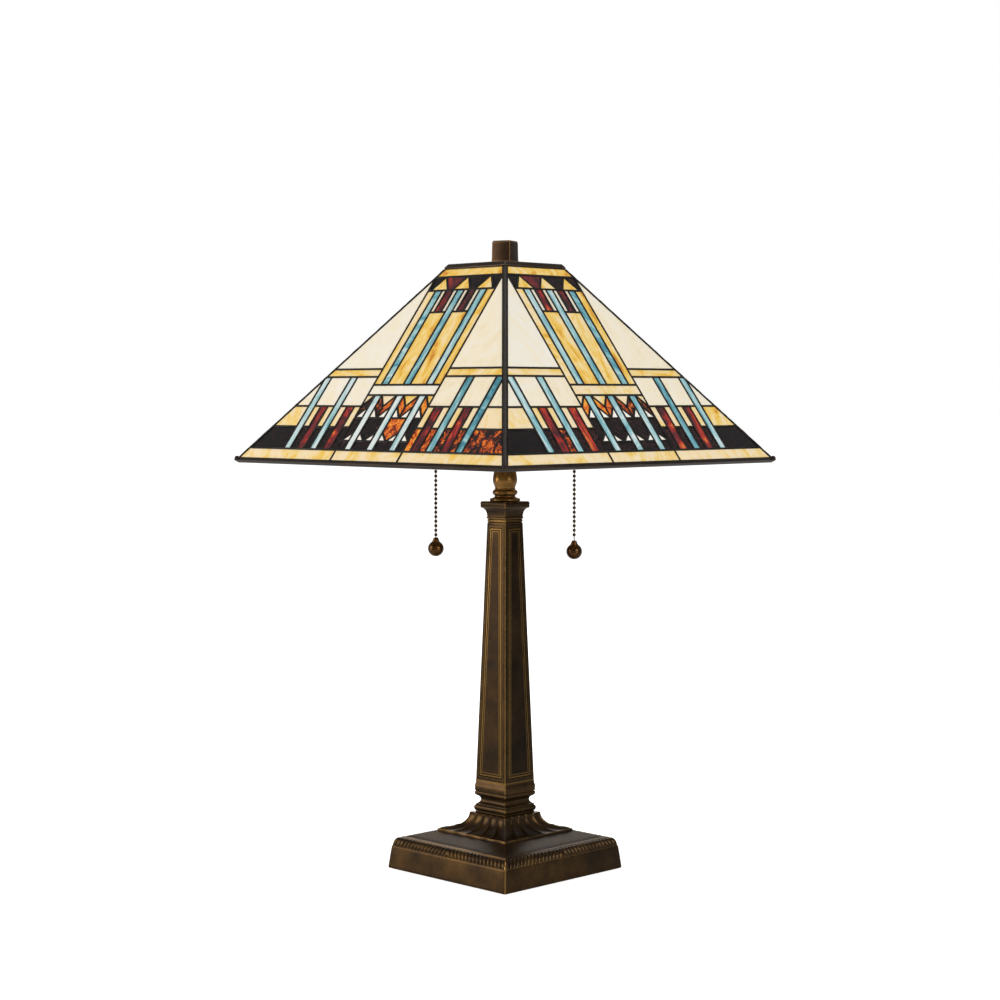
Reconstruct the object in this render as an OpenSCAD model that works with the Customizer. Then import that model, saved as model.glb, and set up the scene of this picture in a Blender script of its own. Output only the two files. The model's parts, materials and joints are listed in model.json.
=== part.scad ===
// Table lamp with a square pyramid shade of leaded glass on a cast square column.
// Millimetres, +Z up. The origin is the middle of the underside, on the table.
// Front is -Y, right is +X. The two lights stand on the diagonal through +X +Y.

/* [Shade] */
// Side of the square rim, outside
shade_side = 356; // [300:1:430]
// Side of the shade at the top of its cap, outside
shade_top_side = 74; // [68:1:84]
// Height from the shade's rim to the top of its cap
shade_rise = 181; // [151:1:217]
// Thickness of the glass panes
glass_t = 2.4; // [1.8:0.1:2.6]
// Thickness of the cames, which stand proud of both faces of the glass
came_t = 3.4; // [3.2:0.1:4.2]
// Width of a came's face
came_w = 2; // [1.6:0.1:2.4]
// Thickness of a came's heart, between two panes
heart_t = 0.8; // [0.6:0.1:1]
// Width of the rim channel's face
rim_w = 3.7; // [3:0.1:5]
// Depth of the rim channel's groove, which takes the panel's lower edge
rim_cover = 1.8; // [1.5:0.1:2.2]
// Thickness of the rim channel's two flanges
rim_flange = 0.4; // [0.3:0.1:0.8]
// Height of the cap's skirt along the slope
cap_skirt = 5.6; // [4:0.1:8]
// How far the cap's skirt stands proud of the cames
cap_proud = 0.5; // [0.3:0.1:0.8]
// Thickness of the cap's top plate
cap_plate = 2; // [1.5:0.1:3]

/* [Glass pattern] */
// Distance between the centres of the turquoise strips in the middle panel
strip_pitch = 29.5; // [28:0.5:30]
// Width of a turquoise strip, from came centre to came centre
strip_w = 9; // [8:0.1:10]
// Distance from a face's middle to its first wing strip
wing_strip_1 = 77; // [76:0.5:79]
// Distance from a face's middle to its second wing strip
wing_strip_2 = 113.5; // [112:0.5:115]
// Width of a ruby strip in the wings
ruby_w = 10.5; // [9:0.1:12]
// Width of a ruby strip in the short cells of the middle panel
cell_ruby_w = 9.6; // [9:0.1:10]
// Height of the amber band above the rim
rim_band_h = 13.4; // [12:0.1:15]
// Height of the dark row above the rim band
dark_row_h = 25.4; // [22:0.1:28]
// Height of the amber and ruby row
amber_row_h = 23.7; // [21:0.1:26]
// Height of the cream row
cream_row_h = 33.8; // [30:0.1:36]
// Height of the amber bar at each side of the middle panel
side_bar_h = 9.1; // [8:0.1:10]
// Height of the lowest row of the zigzag, a dark bar
zigzag_foot_h = 10.4; // [9:0.1:12]
// Height of the zigzag's lower row
zigzag_low_h = 25.7; // [23:0.1:28]
// Height of the zigzag's upper row
zigzag_high_h = 25.8; // [23:0.1:28]
// Height of the small corner triangles in the zigzag's lower row
corner_h = 9.7; // [9:0.1:11]
// Height of the cross bar under the middle panel
cross_bar_h = 11.7; // [10:0.1:13]
// Height of the short cells at the top of the middle panel
short_cell_h = 26.2; // [22:0.1:28]
// Height of the row of triangles
triangle_row_h = 16.2; // [14:0.1:18]
// Half the foot of an upright triangle
triangle_half = 11.5; // [10:0.1:12]
// Height of the amber strip under the cap
top_strip_h = 10.3; // [9:0.1:12]

/* [Base] */
// Side of the square base at its foot
base_side = 157; // [140:1:189]
// How far each side of the plinth leans in over its height
plinth_lean = 2.3; // [1:0.1:3]
// Thickness of the felt pad
felt_t = 1.5; // [1:0.1:3]
// Height of the plinth's sides
plinth_h = 21.6; // [18:0.1:26]
// Height of the quarter-round moulding
ovolo_h = 7.3; // [6:0.1:9]
// How far the quarter-round moulding steps in
ovolo_in = 5.5; // [4:0.1:7]
// Rise of the sloping top, from the moulding to the flare
roof_h = 8.2; // [6:0.1:10]
// Side of the flare where it meets the sloping top
flare_side = 87.7; // [80:0.1:96]
// Height of the concave flare
flare_h = 16.5; // [14:0.1:20]
// Wall of the base casting
base_wall = 3; // [2.5:0.1:4]
// Distance of the cover's screws from the base's middle, along X and Y
screw_place = 58; // [54:0.5:60]
// Radius of the iron weight
weight_r = 52; // [44:1:54]
// Thickness of the iron weight
weight_t = 15; // [10:1:16]

/* [Column] */
// Side of the column's foot at its widest
foot_side = 42; // [38:0.5:46]
// Height of the column's foot
foot_h = 30.7; // [27:0.1:36]
// Side of the shaft at its lower end
shaft_low_side = 39.2; // [35:0.1:40]
// Side of the shaft at its upper end
shaft_top_side = 23.8; // [22:0.1:28]
// Height of the shaft
shaft_h = 246; // [205:1:295]
// Side of the capital's slab
capital_side = 33.3; // [30:0.1:36]
// Height of the capital
capital_h = 16.2; // [14:0.1:19]
// Height of the turned neck
neck_h = 43.5; // [40:0.5:50]
// Outside diameter of the threaded pipe
pipe_d = 10; // [9.5:0.1:10.5]
// Bore of the threaded pipe
pipe_bore = 6.6; // [6:0.1:7]

/* [Lights] */
// Distance of each socket's axis from the lamp's axis
socket_r = 38; // [37:0.5:41]
// Outside diameter of a socket's shell
shell_d = 35; // [34:0.5:36]
// Height of a socket's shell
shell_h = 42; // [41:0.5:43]
// Distance of the pull chains from the lamp's axis
chain_r = 64.8; // [64:0.1:67]
// Diameter of a bulb's screw cap
bulb_cap_d = 26; // [25.8:0.1:26.2]
// Diameter of a bulb
bulb_d = 60; // [48:1:60]
// Length of a bulb from contact to tip
bulb_l = 109; // [95:1:112]
// Distance from the top of the cluster hub to the underside of the cap
riser_l = 159.5; // [150:0.5:190]

/* [Pull chains] */
// Diameter of a chain bead
bead_d = 3.2; // [3:0.1:3.4]
// Distance between beads
bead_pitch = 4.23; // [4:0.01:4.5]
// Diameter of the pull ball
ball_d = 14.8; // [12:0.1:18]
// Beads below the guide on the left chain
left_beads = 20; // [12:1:22]
// Beads below the guide on the right chain
right_beads = 20; // [12:1:22]
// Extra length of wire at the right chain's ball
right_extra = 2.8; // [0:0.1:4]

/* [Finial] */
// Side of the square finial
finial_side = 18.5; // [16:0.1:24]
// Height of the finial block
finial_h = 20; // [16.5:0.1:26]
// Turn of the finial against the shade
finial_turn = 19.5; // [0:0.5:45]

/* [Fits] */
// Clearance all round between parts that turn in each other
run_gap = 0.07; // [0.03:0.01:0.1]
// Clearance between a bulb's cap and its screw shell
bulb_gap = 0.35; // [0.3:0.05:0.5]
// Clearance between the panel edges at the hips
hip_gap = 0.2; // [0.1:0.05:0.3]
// Clearance between the finial and the flange of its insert
finial_gap = 0.05; // [0.03:0.01:0.2]

/* [Hidden] */
$fn = 48;
EPS = 0.01;
ARC = 8; // steps in a drawn quarter round

// ---- Heights of the stack, from the table up
plinth_top = felt_t + plinth_h;
ovolo_top = plinth_top + ovolo_h;
flare_z = ovolo_top + roof_h;
base_top = flare_z + flare_h;
foot_top = base_top + foot_h;
shaft_top = foot_top + shaft_h;
capital_top = shaft_top + capital_h;
neck_top = capital_top + neck_h;
hub_h = 16;
hub_top = neck_top + hub_h;
cap_under = hub_top + riser_l;
cap_z = cap_under + cap_plate;
rim_z = cap_z - shade_rise;

// ---- Shade geometry: u runs along a face, v up its slope, from the rim
BIG = shade_side;
run = (shade_side - shade_top_side) / 2;
slope = atan(shade_rise / run);
slant = sqrt(shade_rise * shade_rise + run * run);
panel_top = slant - cap_skirt;
hip_half = acos(cos(slope) * cos(slope)) / 2; // half the angle between two faces' normals
edge_lip = 0.8; // came left outside the opening at a panel's own edge
half_came = came_w / 2;
half_panel = 1.5 * strip_pitch;
half_strip = strip_w / 2;

v_foot = rim_cover - half_came;
v_band = rim_band_h;
v_dark = v_band + dark_row_h;
v_amber = v_dark + amber_row_h;
v_cream = v_amber + cream_row_h;
v_bar = v_cream + side_bar_h;
v_zig1 = v_band + zigzag_foot_h;
v_zig2 = v_zig1 + zigzag_low_h;
v_zig3 = v_zig2 + zigzag_high_h;
v_zig_mid = (v_zig2 + v_zig3) / 2;
v_cross = v_zig3 + cross_bar_h;
v_strip = panel_top - top_strip_h;
v_tri = v_strip - triangle_row_h;
v_cell = v_tri - short_cell_h;

CREAM = 0;
AMBER = 1;
TURQUOISE = 2;
RUBY = 3;
EMBER = 4;
ONYX = 5;
WHITE = 6;
GLASS_COLOURS = ["#ece3d2", "#f0cf7c", "#8fc4cc", "#7c1f24", "#b8501c", "#1b1216", "#f4eeea"];

// ---- Base and column
half_base = base_side / 2;
plinth_in = half_base - plinth_lean;
ovolo_r = plinth_in - 0.3;
roof_r = ovolo_r - ovolo_in - 3;
flare_r = flare_side / 2;
neck_r = foot_side / 2 + 1.9;
cover_t = 2;
cover_top = felt_t + cover_t;
cover_half = half_base - base_wall - 3;
cavity_top = base_top - 11;
screw_head_r = 3.6;
screw_r = 2;
screw_l = 12;
boss_r = 5.5;
boss_top = ovolo_top + roof_h * (roof_r - screw_place - boss_r) / (roof_r - flare_r); // just under the roof
washer_t = 1.5;
washer_r = 9;
nut_af = 14;
nut_h = 6;
pipe_r = pipe_d / 2;
pipe_foot = cavity_top - washer_t - nut_h - 6;
pipe_top = neck_top + 5;
cord_r = 3.6;
bushing_r = 5.4;
bushing_flange_r = 7.5;
bushing_flange_t = 2;
bushing_z = felt_t + 11;
shaft_wall = 3;

// ---- Sockets, with Z as on the lamp and x outwards from the socket's axis
shell_r = shell_d / 2;
shell_wall = 0.8;
socket_z = neck_top;             // underside of the socket's cap
cap_h = 15.5;
cap_wall = 1;
shell_z = socket_z + cap_h;
block_z = shell_z - 2;
block_h = 15;
block_r = shell_r - cap_wall;
contact_z = block_z + block_h;
bulb_z = contact_z + 2.2;        // the bulb's contact point
nipple_z = neck_top + 9.5;
nipple_r = 4;
nipple_wall = 1;
nipple_in = 8.2;                 // inner end of a nipple, from the lamp's axis
liner_t = 0.6;
screw_wall = 0.6;
screw_in_r = bulb_cap_d / 2 + bulb_gap;
screw_z = contact_z + 1.5;
shell_top = shell_z + shell_h;

// ---- Switch: lever pin, lever and guide
guide_x = chain_r - socket_r;
pin_x = 12;
pin_z = block_z + 7.5;
pin_r = 1;
lever_t = 2;
lever_drop = 7;
lever_arm = guide_x - pin_x;
guide_top = pin_z + 4;
guide_floor = pin_z - lever_drop - 2.5;
guide_half_w = 4.6;
guide_wall = 1.2;
bell_h = 7.1;
bell_bore = bead_d / 2 + 0.5;
bell_r = 5.2;
chain_z = guide_floor - bell_h + 1; // centre of the bead that the chain swings about
wire_r = 0.45;
bead_r = bead_d / 2;
ball_r = ball_d / 2;
collar_h = 4.2;
left_drop = left_beads * bead_pitch;
right_drop = right_beads * bead_pitch + right_extra;

// ---- Riser, cap and finial
riser_r = 4.8;
riser_seat = 2;                  // how far the riser screws into the hub
stud_r = 3.175;
stud_l = 12;
rest_r = 12;
insert_r = 5;
insert_flange_r = 8;
insert_flange_t = 1.5;
insert_z = cap_z;
insert_top = cap_z + stud_l + 2;
finial_z = insert_z + insert_flange_t + finial_gap;
vent_ring_r = 19;
vent_r = 2.5;
vents = 8;

// ---- Helpers
function rect(u0, u1, v0, v1) = [[u0, v0], [u1, v0], [u1, v1], [u0, v1]];
function flip(s, p) = [for (q = p) [s * q[0], q[1]]];
function backwards(p) = [for (i = [len(p) - 1 : -1 : 0]) p[i]];
function signed(p) = let (s = [for (i = [0 : len(p) - 1]) cross(p[i], p[(i + 1) % len(p)])]) s * [for (x = s) 1];
function ccw(p) = signed(p) > 0 ? p : backwards(p);

// Keeps the part of a convex outline where n * p <= c
function clip(p, n, c) = [
    for (i = [0 : len(p) - 1])
        let (a = p[i], b = p[(i + 1) % len(p)], da = n * a - c, db = n * b - c)
            each concat(da <= 0 ? [a] : [], da * db < 0 ? [a + (b - a) * da / (da - db)] : [])
];

// Moves every side of a convex outline in by d
function edge_normal(a, b) = [b[1] - a[1], a[0] - b[0]] / norm(b - a);
function inset(p, d, i = 0, q = undef) =
    let (r = is_undef(q) ? p : q)
        i == len(p) ? r
        : let (n = edge_normal(p[i], p[(i + 1) % len(p)])) inset(p, d, i + 1, clip(r, n, n * p[i] - d));

// Trims an outline on a face's inner plane to its two hips, moved out by d
function hip_trim(p, d) =
    let (l = norm([1, cos(slope)]), c = (shade_side / 2 - came_t * sin(slope)) / l - hip_gap + d)
        clip(clip(p, [1, cos(slope)] / l, c), [-1, cos(slope)] / l, c);

// Quarter round from p to q; the centre lies level with q when hollow is false, else with p
function quarter(p, q, hollow = false) = [
    for (i = [0 : ARC])
        let (t = 90 * i / ARC, c = hollow ? sin(t) : 1 - cos(t), s = hollow ? 1 - cos(t) : sin(t))
            [p[0] + (q[0] - p[0]) * c, p[1] + (q[1] - p[1]) * s]
];

// Point at slope length v and height c over a face's inner plane, as [distance from axis, z]
function face_point(v, c) = [
    shade_side / 2 - v * cos(slope) + (c - came_t) * sin(slope),
    rim_z + v * sin(slope) + (c - came_t) * cos(slope)
];

// A quarter of all round: the space between the two diagonals in front
module front_wedge(r, z0, z1) {
    translate([0, 0, z0]) linear_extrude(z1 - z0) polygon([[0, 0], [-r, -r], [r, -r]]);
}

// Runs a [distance from axis, z] outline along the front side, mitred at both ends
module mitred_side(outline) {
    r = max([for (p = outline) p[0]]) + 1;
    z0 = min([for (p = outline) p[1]]) - 1;
    z1 = max([for (p = outline) p[1]]) + 1;
    intersection() {
        rotate([90, 0, -90]) linear_extrude(2 * r, center = true) polygon(outline);
        front_wedge(r, z0, z1);
    }
}

module square_turn(outline) {
    for (i = [0 : 3]) rotate([0, 0, 90 * i]) mitred_side(outline);
}

// Puts a panel drawn in u, v on side i; its inner plane is at height 0
module on_face(i) {
    rotate([0, 0, 90 * i]) translate([0, -shade_side / 2, rim_z]) rotate([slope, 0, 0])
        translate([0, 0, -came_t]) children();
}

// Puts a socket's parts in place: x points away from the lamp's axis
module at_socket(right) {
    rotate([0, 0, right ? 45 : 225]) translate([socket_r, 0, 0]) children();
}

module both_sockets() {
    at_socket(false) children();
    at_socket(true) children();
}

module ring(r_out, r_in, z, h) {
    translate([0, 0, z]) difference() {
        cylinder(h = h, r = r_out);
        translate([0, 0, -1]) cylinder(h = h + 2, r = r_in);
    }
}

module hex_nut(af, bore, z, h) {
    translate([0, 0, z]) difference() {
        cylinder(h = h, r = af / sqrt(3), $fn = 6);
        translate([0, 0, -1]) cylinder(h = h + 2, r = bore);
    }
}

// ---- Glass pattern: each cell is [colour, outline between came centres]
function ember_side(f, s, k) = (f % 2 == 0 && s > 0) || (f % 2 == 1 && s < 0 && k == 2) ? EMBER : ONYX;

function wing_edges() =
    let (a = half_panel, b = wing_strip_1 - half_strip, c = wing_strip_1 + half_strip,
         d = wing_strip_2 - half_strip, e = wing_strip_2 + half_strip,
         m = (a + b) / 2, n = (c + d) / 2, h = ruby_w / 2)
        [a, m - h, m + h, b, c, n - h, n + h, d, e, BIG];

function wing_cells(f, s) =
    let (e = wing_edges())
        concat(
            [for (k = [0 : 4]) [AMBER, flip(s, rect(e[2 * k], e[2 * k + 1], v_dark, v_amber))]],
            [for (k = [0 : 4]) [ember_side(f, s, k), flip(s, rect(e[2 * k], e[2 * k + 1], v_band, v_dark))]],
            [for (k = [1, 5]) [RUBY, flip(s, rect(e[k], e[k + 1], v_band, v_amber))]],
            [for (k = [3, 7]) [TURQUOISE, flip(s, rect(e[k], e[k + 1], v_band, v_cream))]],
            [for (k = [0, 4, 8]) [CREAM, flip(s, rect(e[k], e[min(k + 3, 9)], v_amber, v_cream))]],
            [
                [AMBER, flip(s, rect(half_panel, BIG, v_cream, v_bar))],
                [CREAM, flip(s, rect(half_panel, BIG, v_bar, v_strip))],
                [AMBER, flip(s, rect(half_panel, BIG, v_foot, v_band))]
            ]
        );

function triangle_cells() =
    let (p = strip_pitch, t = triangle_half)
        concat(
            [for (k = [-1 : 1]) [AMBER, [[k * p - t, v_tri], [k * p + t, v_tri], [k * p, v_strip]]]],
            [for (k = [-1, 0]) [k < 0 ? RUBY : ONYX,
                [[k * p + t, v_tri], [(k + 1) * p - t, v_tri], [(k + 1) * p, v_strip], [k * p, v_strip]]]],
            [for (s = [-1, 1]) [ONYX, flip(s, [[p + t, v_tri], [1.5 * p, v_tri], [1.5 * p, v_strip], [p, v_strip]])]]
        );

function panel_cells() =
    let (p = strip_pitch, h = half_strip, c = p / 2, r = cell_ruby_w / 2)
        concat(
            [for (k = [-1 : 1]) [TURQUOISE, rect(k * p - h, k * p + h, v_cross, v_tri)]],
            [for (s = [-1, 1]) each [
                [AMBER, flip(s, rect(p + h, 1.5 * p, v_cross, v_tri))],
                [AMBER, flip(s, rect(h, p - h, v_cross, v_cell))],
                [RUBY, flip(s, rect(c - r, c + r, v_cell, v_tri))],
                [CREAM, flip(s, rect(h, c - r, v_cell, v_tri))],
                [CREAM, flip(s, rect(c + r, p - h, v_cell, v_tri))]
            ]]
        );

// Outlines of the zigzag beside a strip edge x; the chevron's tip is at c
function zigzag_half(x, c) = [
    [EMBER, [[x, v_zig3], [c, v_zig_mid], [c, v_zig2], [x, v_zig_mid]]],
    [WHITE, [[x, v_zig_mid], [c, v_zig2], [x, v_zig2]]],
    [WHITE, [[x, v_zig1 + corner_h], [c, v_zig1], [x, v_zig1]]]
];

function zigzag_cells(f) =
    let (p = strip_pitch, h = half_strip)
        concat(
            [for (k = [-1 : 1]) [TURQUOISE, rect(k * p - h, k * p + h, v_band, v_zig3)]],
            [for (k = [-1 : 1], s = [-1, 1]) each zigzag_half(k * p + s * h, k * p + s * p / 2)],
            [for (k = [-1, 0])
                let (x = k * p + h, y = (k + 1) * p - h, c = (k + 0.5) * p, t = v_zig1 + corner_h)
                    each [
                        [AMBER, [[c, v_zig_mid], [y, v_zig3], [x, v_zig3]]],
                        [f % 2 == 0 && k == 0 ? EMBER : ONYX,
                            [[c, v_zig1], [y, t], [y, v_zig2], [x, v_zig2], [x, t]]],
                        [ONYX, rect(x, y, v_band, v_zig1)]
                    ]],
            [for (s = [-1, 1])
                let (x = p + h, c = 1.5 * p, t = v_zig1 + corner_h)
                    each [
                        [AMBER, flip(s, [[c, v_zig_mid], [c, v_zig3], [x, v_zig3]])],
                        [ONYX, flip(s, [[c, v_zig1], [c, v_zig2], [x, v_zig2], [x, t]])],
                        [ONYX, flip(s, rect(x, c, v_band, v_zig1))]
                    ]]
        );

function face_cells(f) =
    let (all = concat(
        [
            [AMBER, rect(-BIG, BIG, v_strip, panel_top)],
            [f % 2 == 0 ? CREAM : AMBER, rect(-half_panel, half_panel, v_zig3, v_cross)],
            [AMBER, rect(-half_panel, half_panel, v_foot, v_band)]
        ],
        wing_cells(f, -1), wing_cells(f, 1), triangle_cells(), panel_cells(), zigzag_cells(f)
    ))
        [for (cell = all) [cell[0], hip_trim(ccw(cell[1]), half_came - edge_lip)]];

glass_low = (came_t - glass_t) / 2;

// ---- Shade
module came_panel(f) {
    color("#3a332c") on_face(f) difference() {
        linear_extrude(came_t) polygon(hip_trim(rect(-BIG, BIG, 0, panel_top), 0));
        for (cell = face_cells(f)) {
            translate([0, 0, -1]) linear_extrude(came_t + 2) polygon(inset(cell[1], half_came));
            translate([0, 0, glass_low]) linear_extrude(glass_t) polygon(inset(cell[1], heart_t / 2));
        }
    }
}

module glass(colour) {
    color(GLASS_COLOURS[colour])
        for (f = [0 : 3]) on_face(f) translate([0, 0, glass_low])
            for (cell = face_cells(f))
                if (cell[0] == colour) linear_extrude(glass_t) polygon(inset(cell[1], heart_t / 2));
}

// Solder bead that fills the wedge between two panels' cut edges
module hip_cames() {
    low = -came_t / cos(hip_half) - hip_gap * sin(hip_half);
    half = hip_gap * cos(hip_half);
    top = low + came_t * cos(hip_half);
    wide = half + came_t * sin(hip_half);
    crown = 1.1;
    section = [
        [low, -half], [low, half], [top, wide], [top + 0.75 * crown, 0.55 * wide],
        [top + crown, 0], [top + 0.75 * crown, -0.55 * wide], [top, -wide]
    ];
    lean = atan(run * sqrt(2) / shade_rise);
    color("#3a332c") for (i = [0 : 3]) rotate([0, 0, 90 * i]) difference() {
        rotate([0, 0, -45]) translate([shade_side / sqrt(2), 0, rim_z]) rotate([0, -lean, 0])
            translate([0, 0, -10]) linear_extrude(slant * 1.5) polygon(section);
        for (j = [0, 1]) {
            on_face(j) translate([-BIG, rim_cover - BIG, -BIG]) cube([2 * BIG, BIG, 2 * BIG]);
            on_face(j) translate([-BIG, panel_top, -BIG]) cube([2 * BIG, BIG, 2 * BIG]);
        }
    }
}

module rim_frame() {
    color("#4a3d30") for (i = [0 : 3]) rotate([0, 0, 90 * i]) difference() {
        mitred_side([
            face_point(rim_cover - rim_w, -rim_flange), face_point(rim_cover - rim_w, came_t + rim_flange),
            face_point(rim_cover, came_t + rim_flange), face_point(rim_cover, -rim_flange)
        ]);
        on_face(0) translate([-BIG, 0, 0]) cube([2 * BIG, rim_w, came_t]);
    }
}

module vase_cap() {
    out = came_t + cap_proud;
    in = -rim_flange;
    v_out = (cap_z - rim_z - (out - came_t) * cos(slope)) / sin(slope);
    v_in = (cap_under - rim_z - (in - came_t) * cos(slope)) / sin(slope);
    color("#3b2f26") difference() {
        square_turn([
            face_point(panel_top, in), face_point(panel_top, out), face_point(v_out, out),
            [0, cap_z], [0, cap_under], face_point(v_in, in)
        ]);
        translate([0, 0, cap_under - 1]) cylinder(h = cap_plate + 2, r = stud_r + run_gap);
        for (i = [0 : vents - 1]) rotate([0, 0, 360 * i / vents]) translate([vent_ring_r, 0, cap_under - 1])
            cylinder(h = cap_plate + 2, r = vent_r);
    }
}

// ---- Base
module felt_pad() {
    color("#2b2624") translate([-cover_half - 1, -cover_half - 1, 0])
        cube([2 * cover_half + 2, 2 * cover_half + 2, felt_t]);
}

module at_screws() {
    for (x = [-1, 1], y = [-1, 1]) translate([x * screw_place, y * screw_place, 0]) children();
}

module bottom_cover() {
    color("#6b6560") difference() {
        translate([-cover_half, -cover_half, felt_t]) cube([2 * cover_half, 2 * cover_half, cover_t]);
        at_screws() {
            translate([0, 0, felt_t - 1]) cylinder(h = cover_t + 2, r = screw_r + 0.3);
            translate([0, 0, felt_t - EPS]) cylinder(h = 1.2 + EPS, r = screw_head_r + 0.2);
        }
    }
}

module cover_screws() {
    color("#8a8580") at_screws() {
        translate([0, 0, felt_t]) cylinder(h = 1.2, r = screw_head_r);
        translate([0, 0, felt_t + 1]) cylinder(h = screw_l, r = screw_r);
    }
}

module base_weight() {
    color("#4b4a48") ring(weight_r, 15, cover_top, weight_t);
}

module base_casting() {
    outer = concat(
        [[0, felt_t], [half_base, felt_t], [plinth_in, plinth_top]],
        quarter([ovolo_r, plinth_top], [ovolo_r - ovolo_in, ovolo_top]),
        [[roof_r + 1.4, ovolo_top], [roof_r + 1.4, ovolo_top + 0.7], [roof_r, ovolo_top + 0.7]],
        quarter([flare_r, flare_z], [neck_r, base_top], true),
        [[0, base_top]]
    );
    wall = base_wall;
    hollow = [
        [0, cover_top], [half_base - wall, cover_top], [plinth_in - wall, plinth_top - 1],
        [roof_r - wall, ovolo_top - wall], [flare_r - wall, flare_z - wall - 1.5],
        [neck_r - 2, cavity_top], [0, cavity_top]
    ];
    color("#4d3a2a") difference() {
        union() {
            difference() {
                square_turn(outer);
                square_turn(hollow);
            }
            at_screws() translate([0, 0, cover_top]) cylinder(h = boss_top - cover_top, r = boss_r);
        }
        translate([-cover_half, -cover_half, 0]) cube([2 * cover_half, 2 * cover_half, cover_top]);
        at_screws() translate([0, 0, 0]) cylinder(h = felt_t + 1 + screw_l + 0.5, r = screw_r);
        translate([0, 0, 0]) cylinder(h = base_top + 1, r = pipe_r + run_gap);
        translate([0, half_base - 15, bushing_z]) rotate([-90, 0, 0]) cylinder(h = 20, r = bushing_r);
    }
}

module cord_bushing() {
    wall_y = half_base - plinth_lean * (bushing_z - felt_t) / plinth_h;
    seat = wall_y + 0.9;
    color("#241f1c") translate([0, seat, bushing_z]) rotate([-90, 0, 0]) difference() {
        union() {
            cylinder(h = bushing_flange_t, r = bushing_flange_r);
            translate([0, 0, -base_wall - 4]) cylinder(h = base_wall + 4, r = bushing_r);
        }
        translate([0, 0, -base_wall - 5]) cylinder(h = base_wall + 8, r = cord_r);
    }
}

module pipe_nut() {
    color("#9a9189") {
        ring(washer_r, pipe_r + run_gap, cavity_top - washer_t, washer_t);
        hex_nut(nut_af, pipe_r + run_gap, cavity_top - washer_t - nut_h, nut_h);
    }
}

module threaded_pipe() {
    color("#a89a78") ring(pipe_r, pipe_bore / 2, pipe_foot, pipe_top - pipe_foot);
}

// ---- Column
module bored(r, z0, z1) {
    difference() {
        children();
        translate([0, 0, z0 - 1]) cylinder(h = z1 - z0 + 2, r = r);
    }
}

module column_foot() {
    f = foot_side / 2;
    z = base_top;
    t = foot_top;
    color("#4d3a2a") bored(pipe_r + run_gap, z, t) square_turn(concat(
        [[0, z], [f - 0.8, z], [f, z + 2]],
        [[f, z + 6.7], [f - 0.8, z + 7.7]],
        quarter([f - 1.6, z + 8.2], [f - 4.7, z + 12.4], true),
        [[f - 3.8, z + 15.4], [f - 0.5, z + 16.6], [f - 0.5, z + 19.4], [f - 1.1, z + 19.9]],
        [[f - 0.5, z + 20.4], [f - 0.5, t - 3.7], [shaft_low_side / 2, t], [0, t]]
    ));
}

module column_shaft() {
    low = shaft_low_side / 2;
    top = shaft_top_side / 2;
    lean = atan((low - top) / shaft_h);
    border = 4.2;
    line = 1.1;
    depth = 0.8;
    head = 8;
    frame_low = 5;
    frame_top = shaft_h - head;
    function half_at(v) = low - (low - top) * v / shaft_h;
    function frame_outline(d) = [
        [-half_at(frame_low) + border + d, frame_low + d], [half_at(frame_low) - border - d, frame_low + d],
        [half_at(frame_top) - border - d, frame_top - d], [-half_at(frame_top) + border + d, frame_top - d]
    ];
    color("#4d3a2a") difference() {
        square_turn([
            [low - shaft_wall, foot_top], [low, foot_top], [top, shaft_top], [top - shaft_wall, shaft_top]
        ]);
        for (i = [0 : 3]) rotate([0, 0, 90 * i]) translate([0, -low, foot_top]) rotate([90 - lean, 0, 0])
            translate([0, 0, -depth]) linear_extrude(depth + 1) difference() {
                polygon(frame_outline(0));
                polygon(frame_outline(line));
            }
    }
}

module capital() {
    t = shaft_top_side / 2;
    c = capital_side / 2;
    z = shaft_top;
    color("#4d3a2a") bored(pipe_r + run_gap, z, capital_top) square_turn(concat(
        [[0, z], [t + 0.5, z], [t + 0.5, z + 1.2], [t, z + 1.7]],
        quarter([t + 0.2, z + 2.2], [c - 1, z + 10], true),
        [[c, z + 10.6], [c, capital_top - 1], [c - 0.6, capital_top], [0, capital_top]]
    ));
}

module turned_neck() {
    z = capital_top;
    bore = pipe_r + run_gap;
    color("#4d3a2a") rotate_extrude() polygon([
        [bore, z], [13.6, z], [14.35, z + 0.8], [14.35, z + 2.2], [13.6, z + 3], [10.2, z + 4], [9.7, z + 4.6],
        [10, z + 5.6], [11.4, z + 6.8], [11.8, z + 8.3], [11.4, z + 9.8], [10, z + 11.2], [9.5, z + 12.4],
        [9.7, z + 13.8], [10.8, z + 16], [11.35, z + 18], [11.45, z + 19.8], [11.3, z + 22], [10.9, z + 25],
        [10.2, z + 29], [9.6, z + 33], [9.3, z + 36], [9.5, z + 38], [11.5, neck_top - 4], [12, neck_top - 3],
        [12, neck_top], [bore, neck_top]
    ]);
}

// ---- Cluster of two sockets
module cluster_hub() {
    color("#b08d4c") difference() {
        rotate_extrude() polygon([
            [0, neck_top], [13, neck_top], [14, neck_top + 1], [14, hub_top - 3], [12, hub_top - 0.6],
            [10.5, hub_top], [0, hub_top]
        ]);
        translate([0, 0, neck_top - 1]) cylinder(h = pipe_top - neck_top + 1, r = pipe_r + run_gap);
        translate([0, 0, pipe_top - EPS]) cylinder(h = nipple_z - pipe_top + EPS, r = pipe_bore / 2);
        translate([0, 0, hub_top - riser_seat]) cylinder(h = riser_seat + 1, r = riser_r);
        both_sockets() translate([-socket_r, 0, nipple_z]) rotate([0, 90, 0]) {
            cylinder(h = nipple_in + EPS, r = nipple_r - nipple_wall);
            translate([0, 0, nipple_in]) cylinder(h = 12, r = nipple_r);
        }
    }
}

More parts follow.
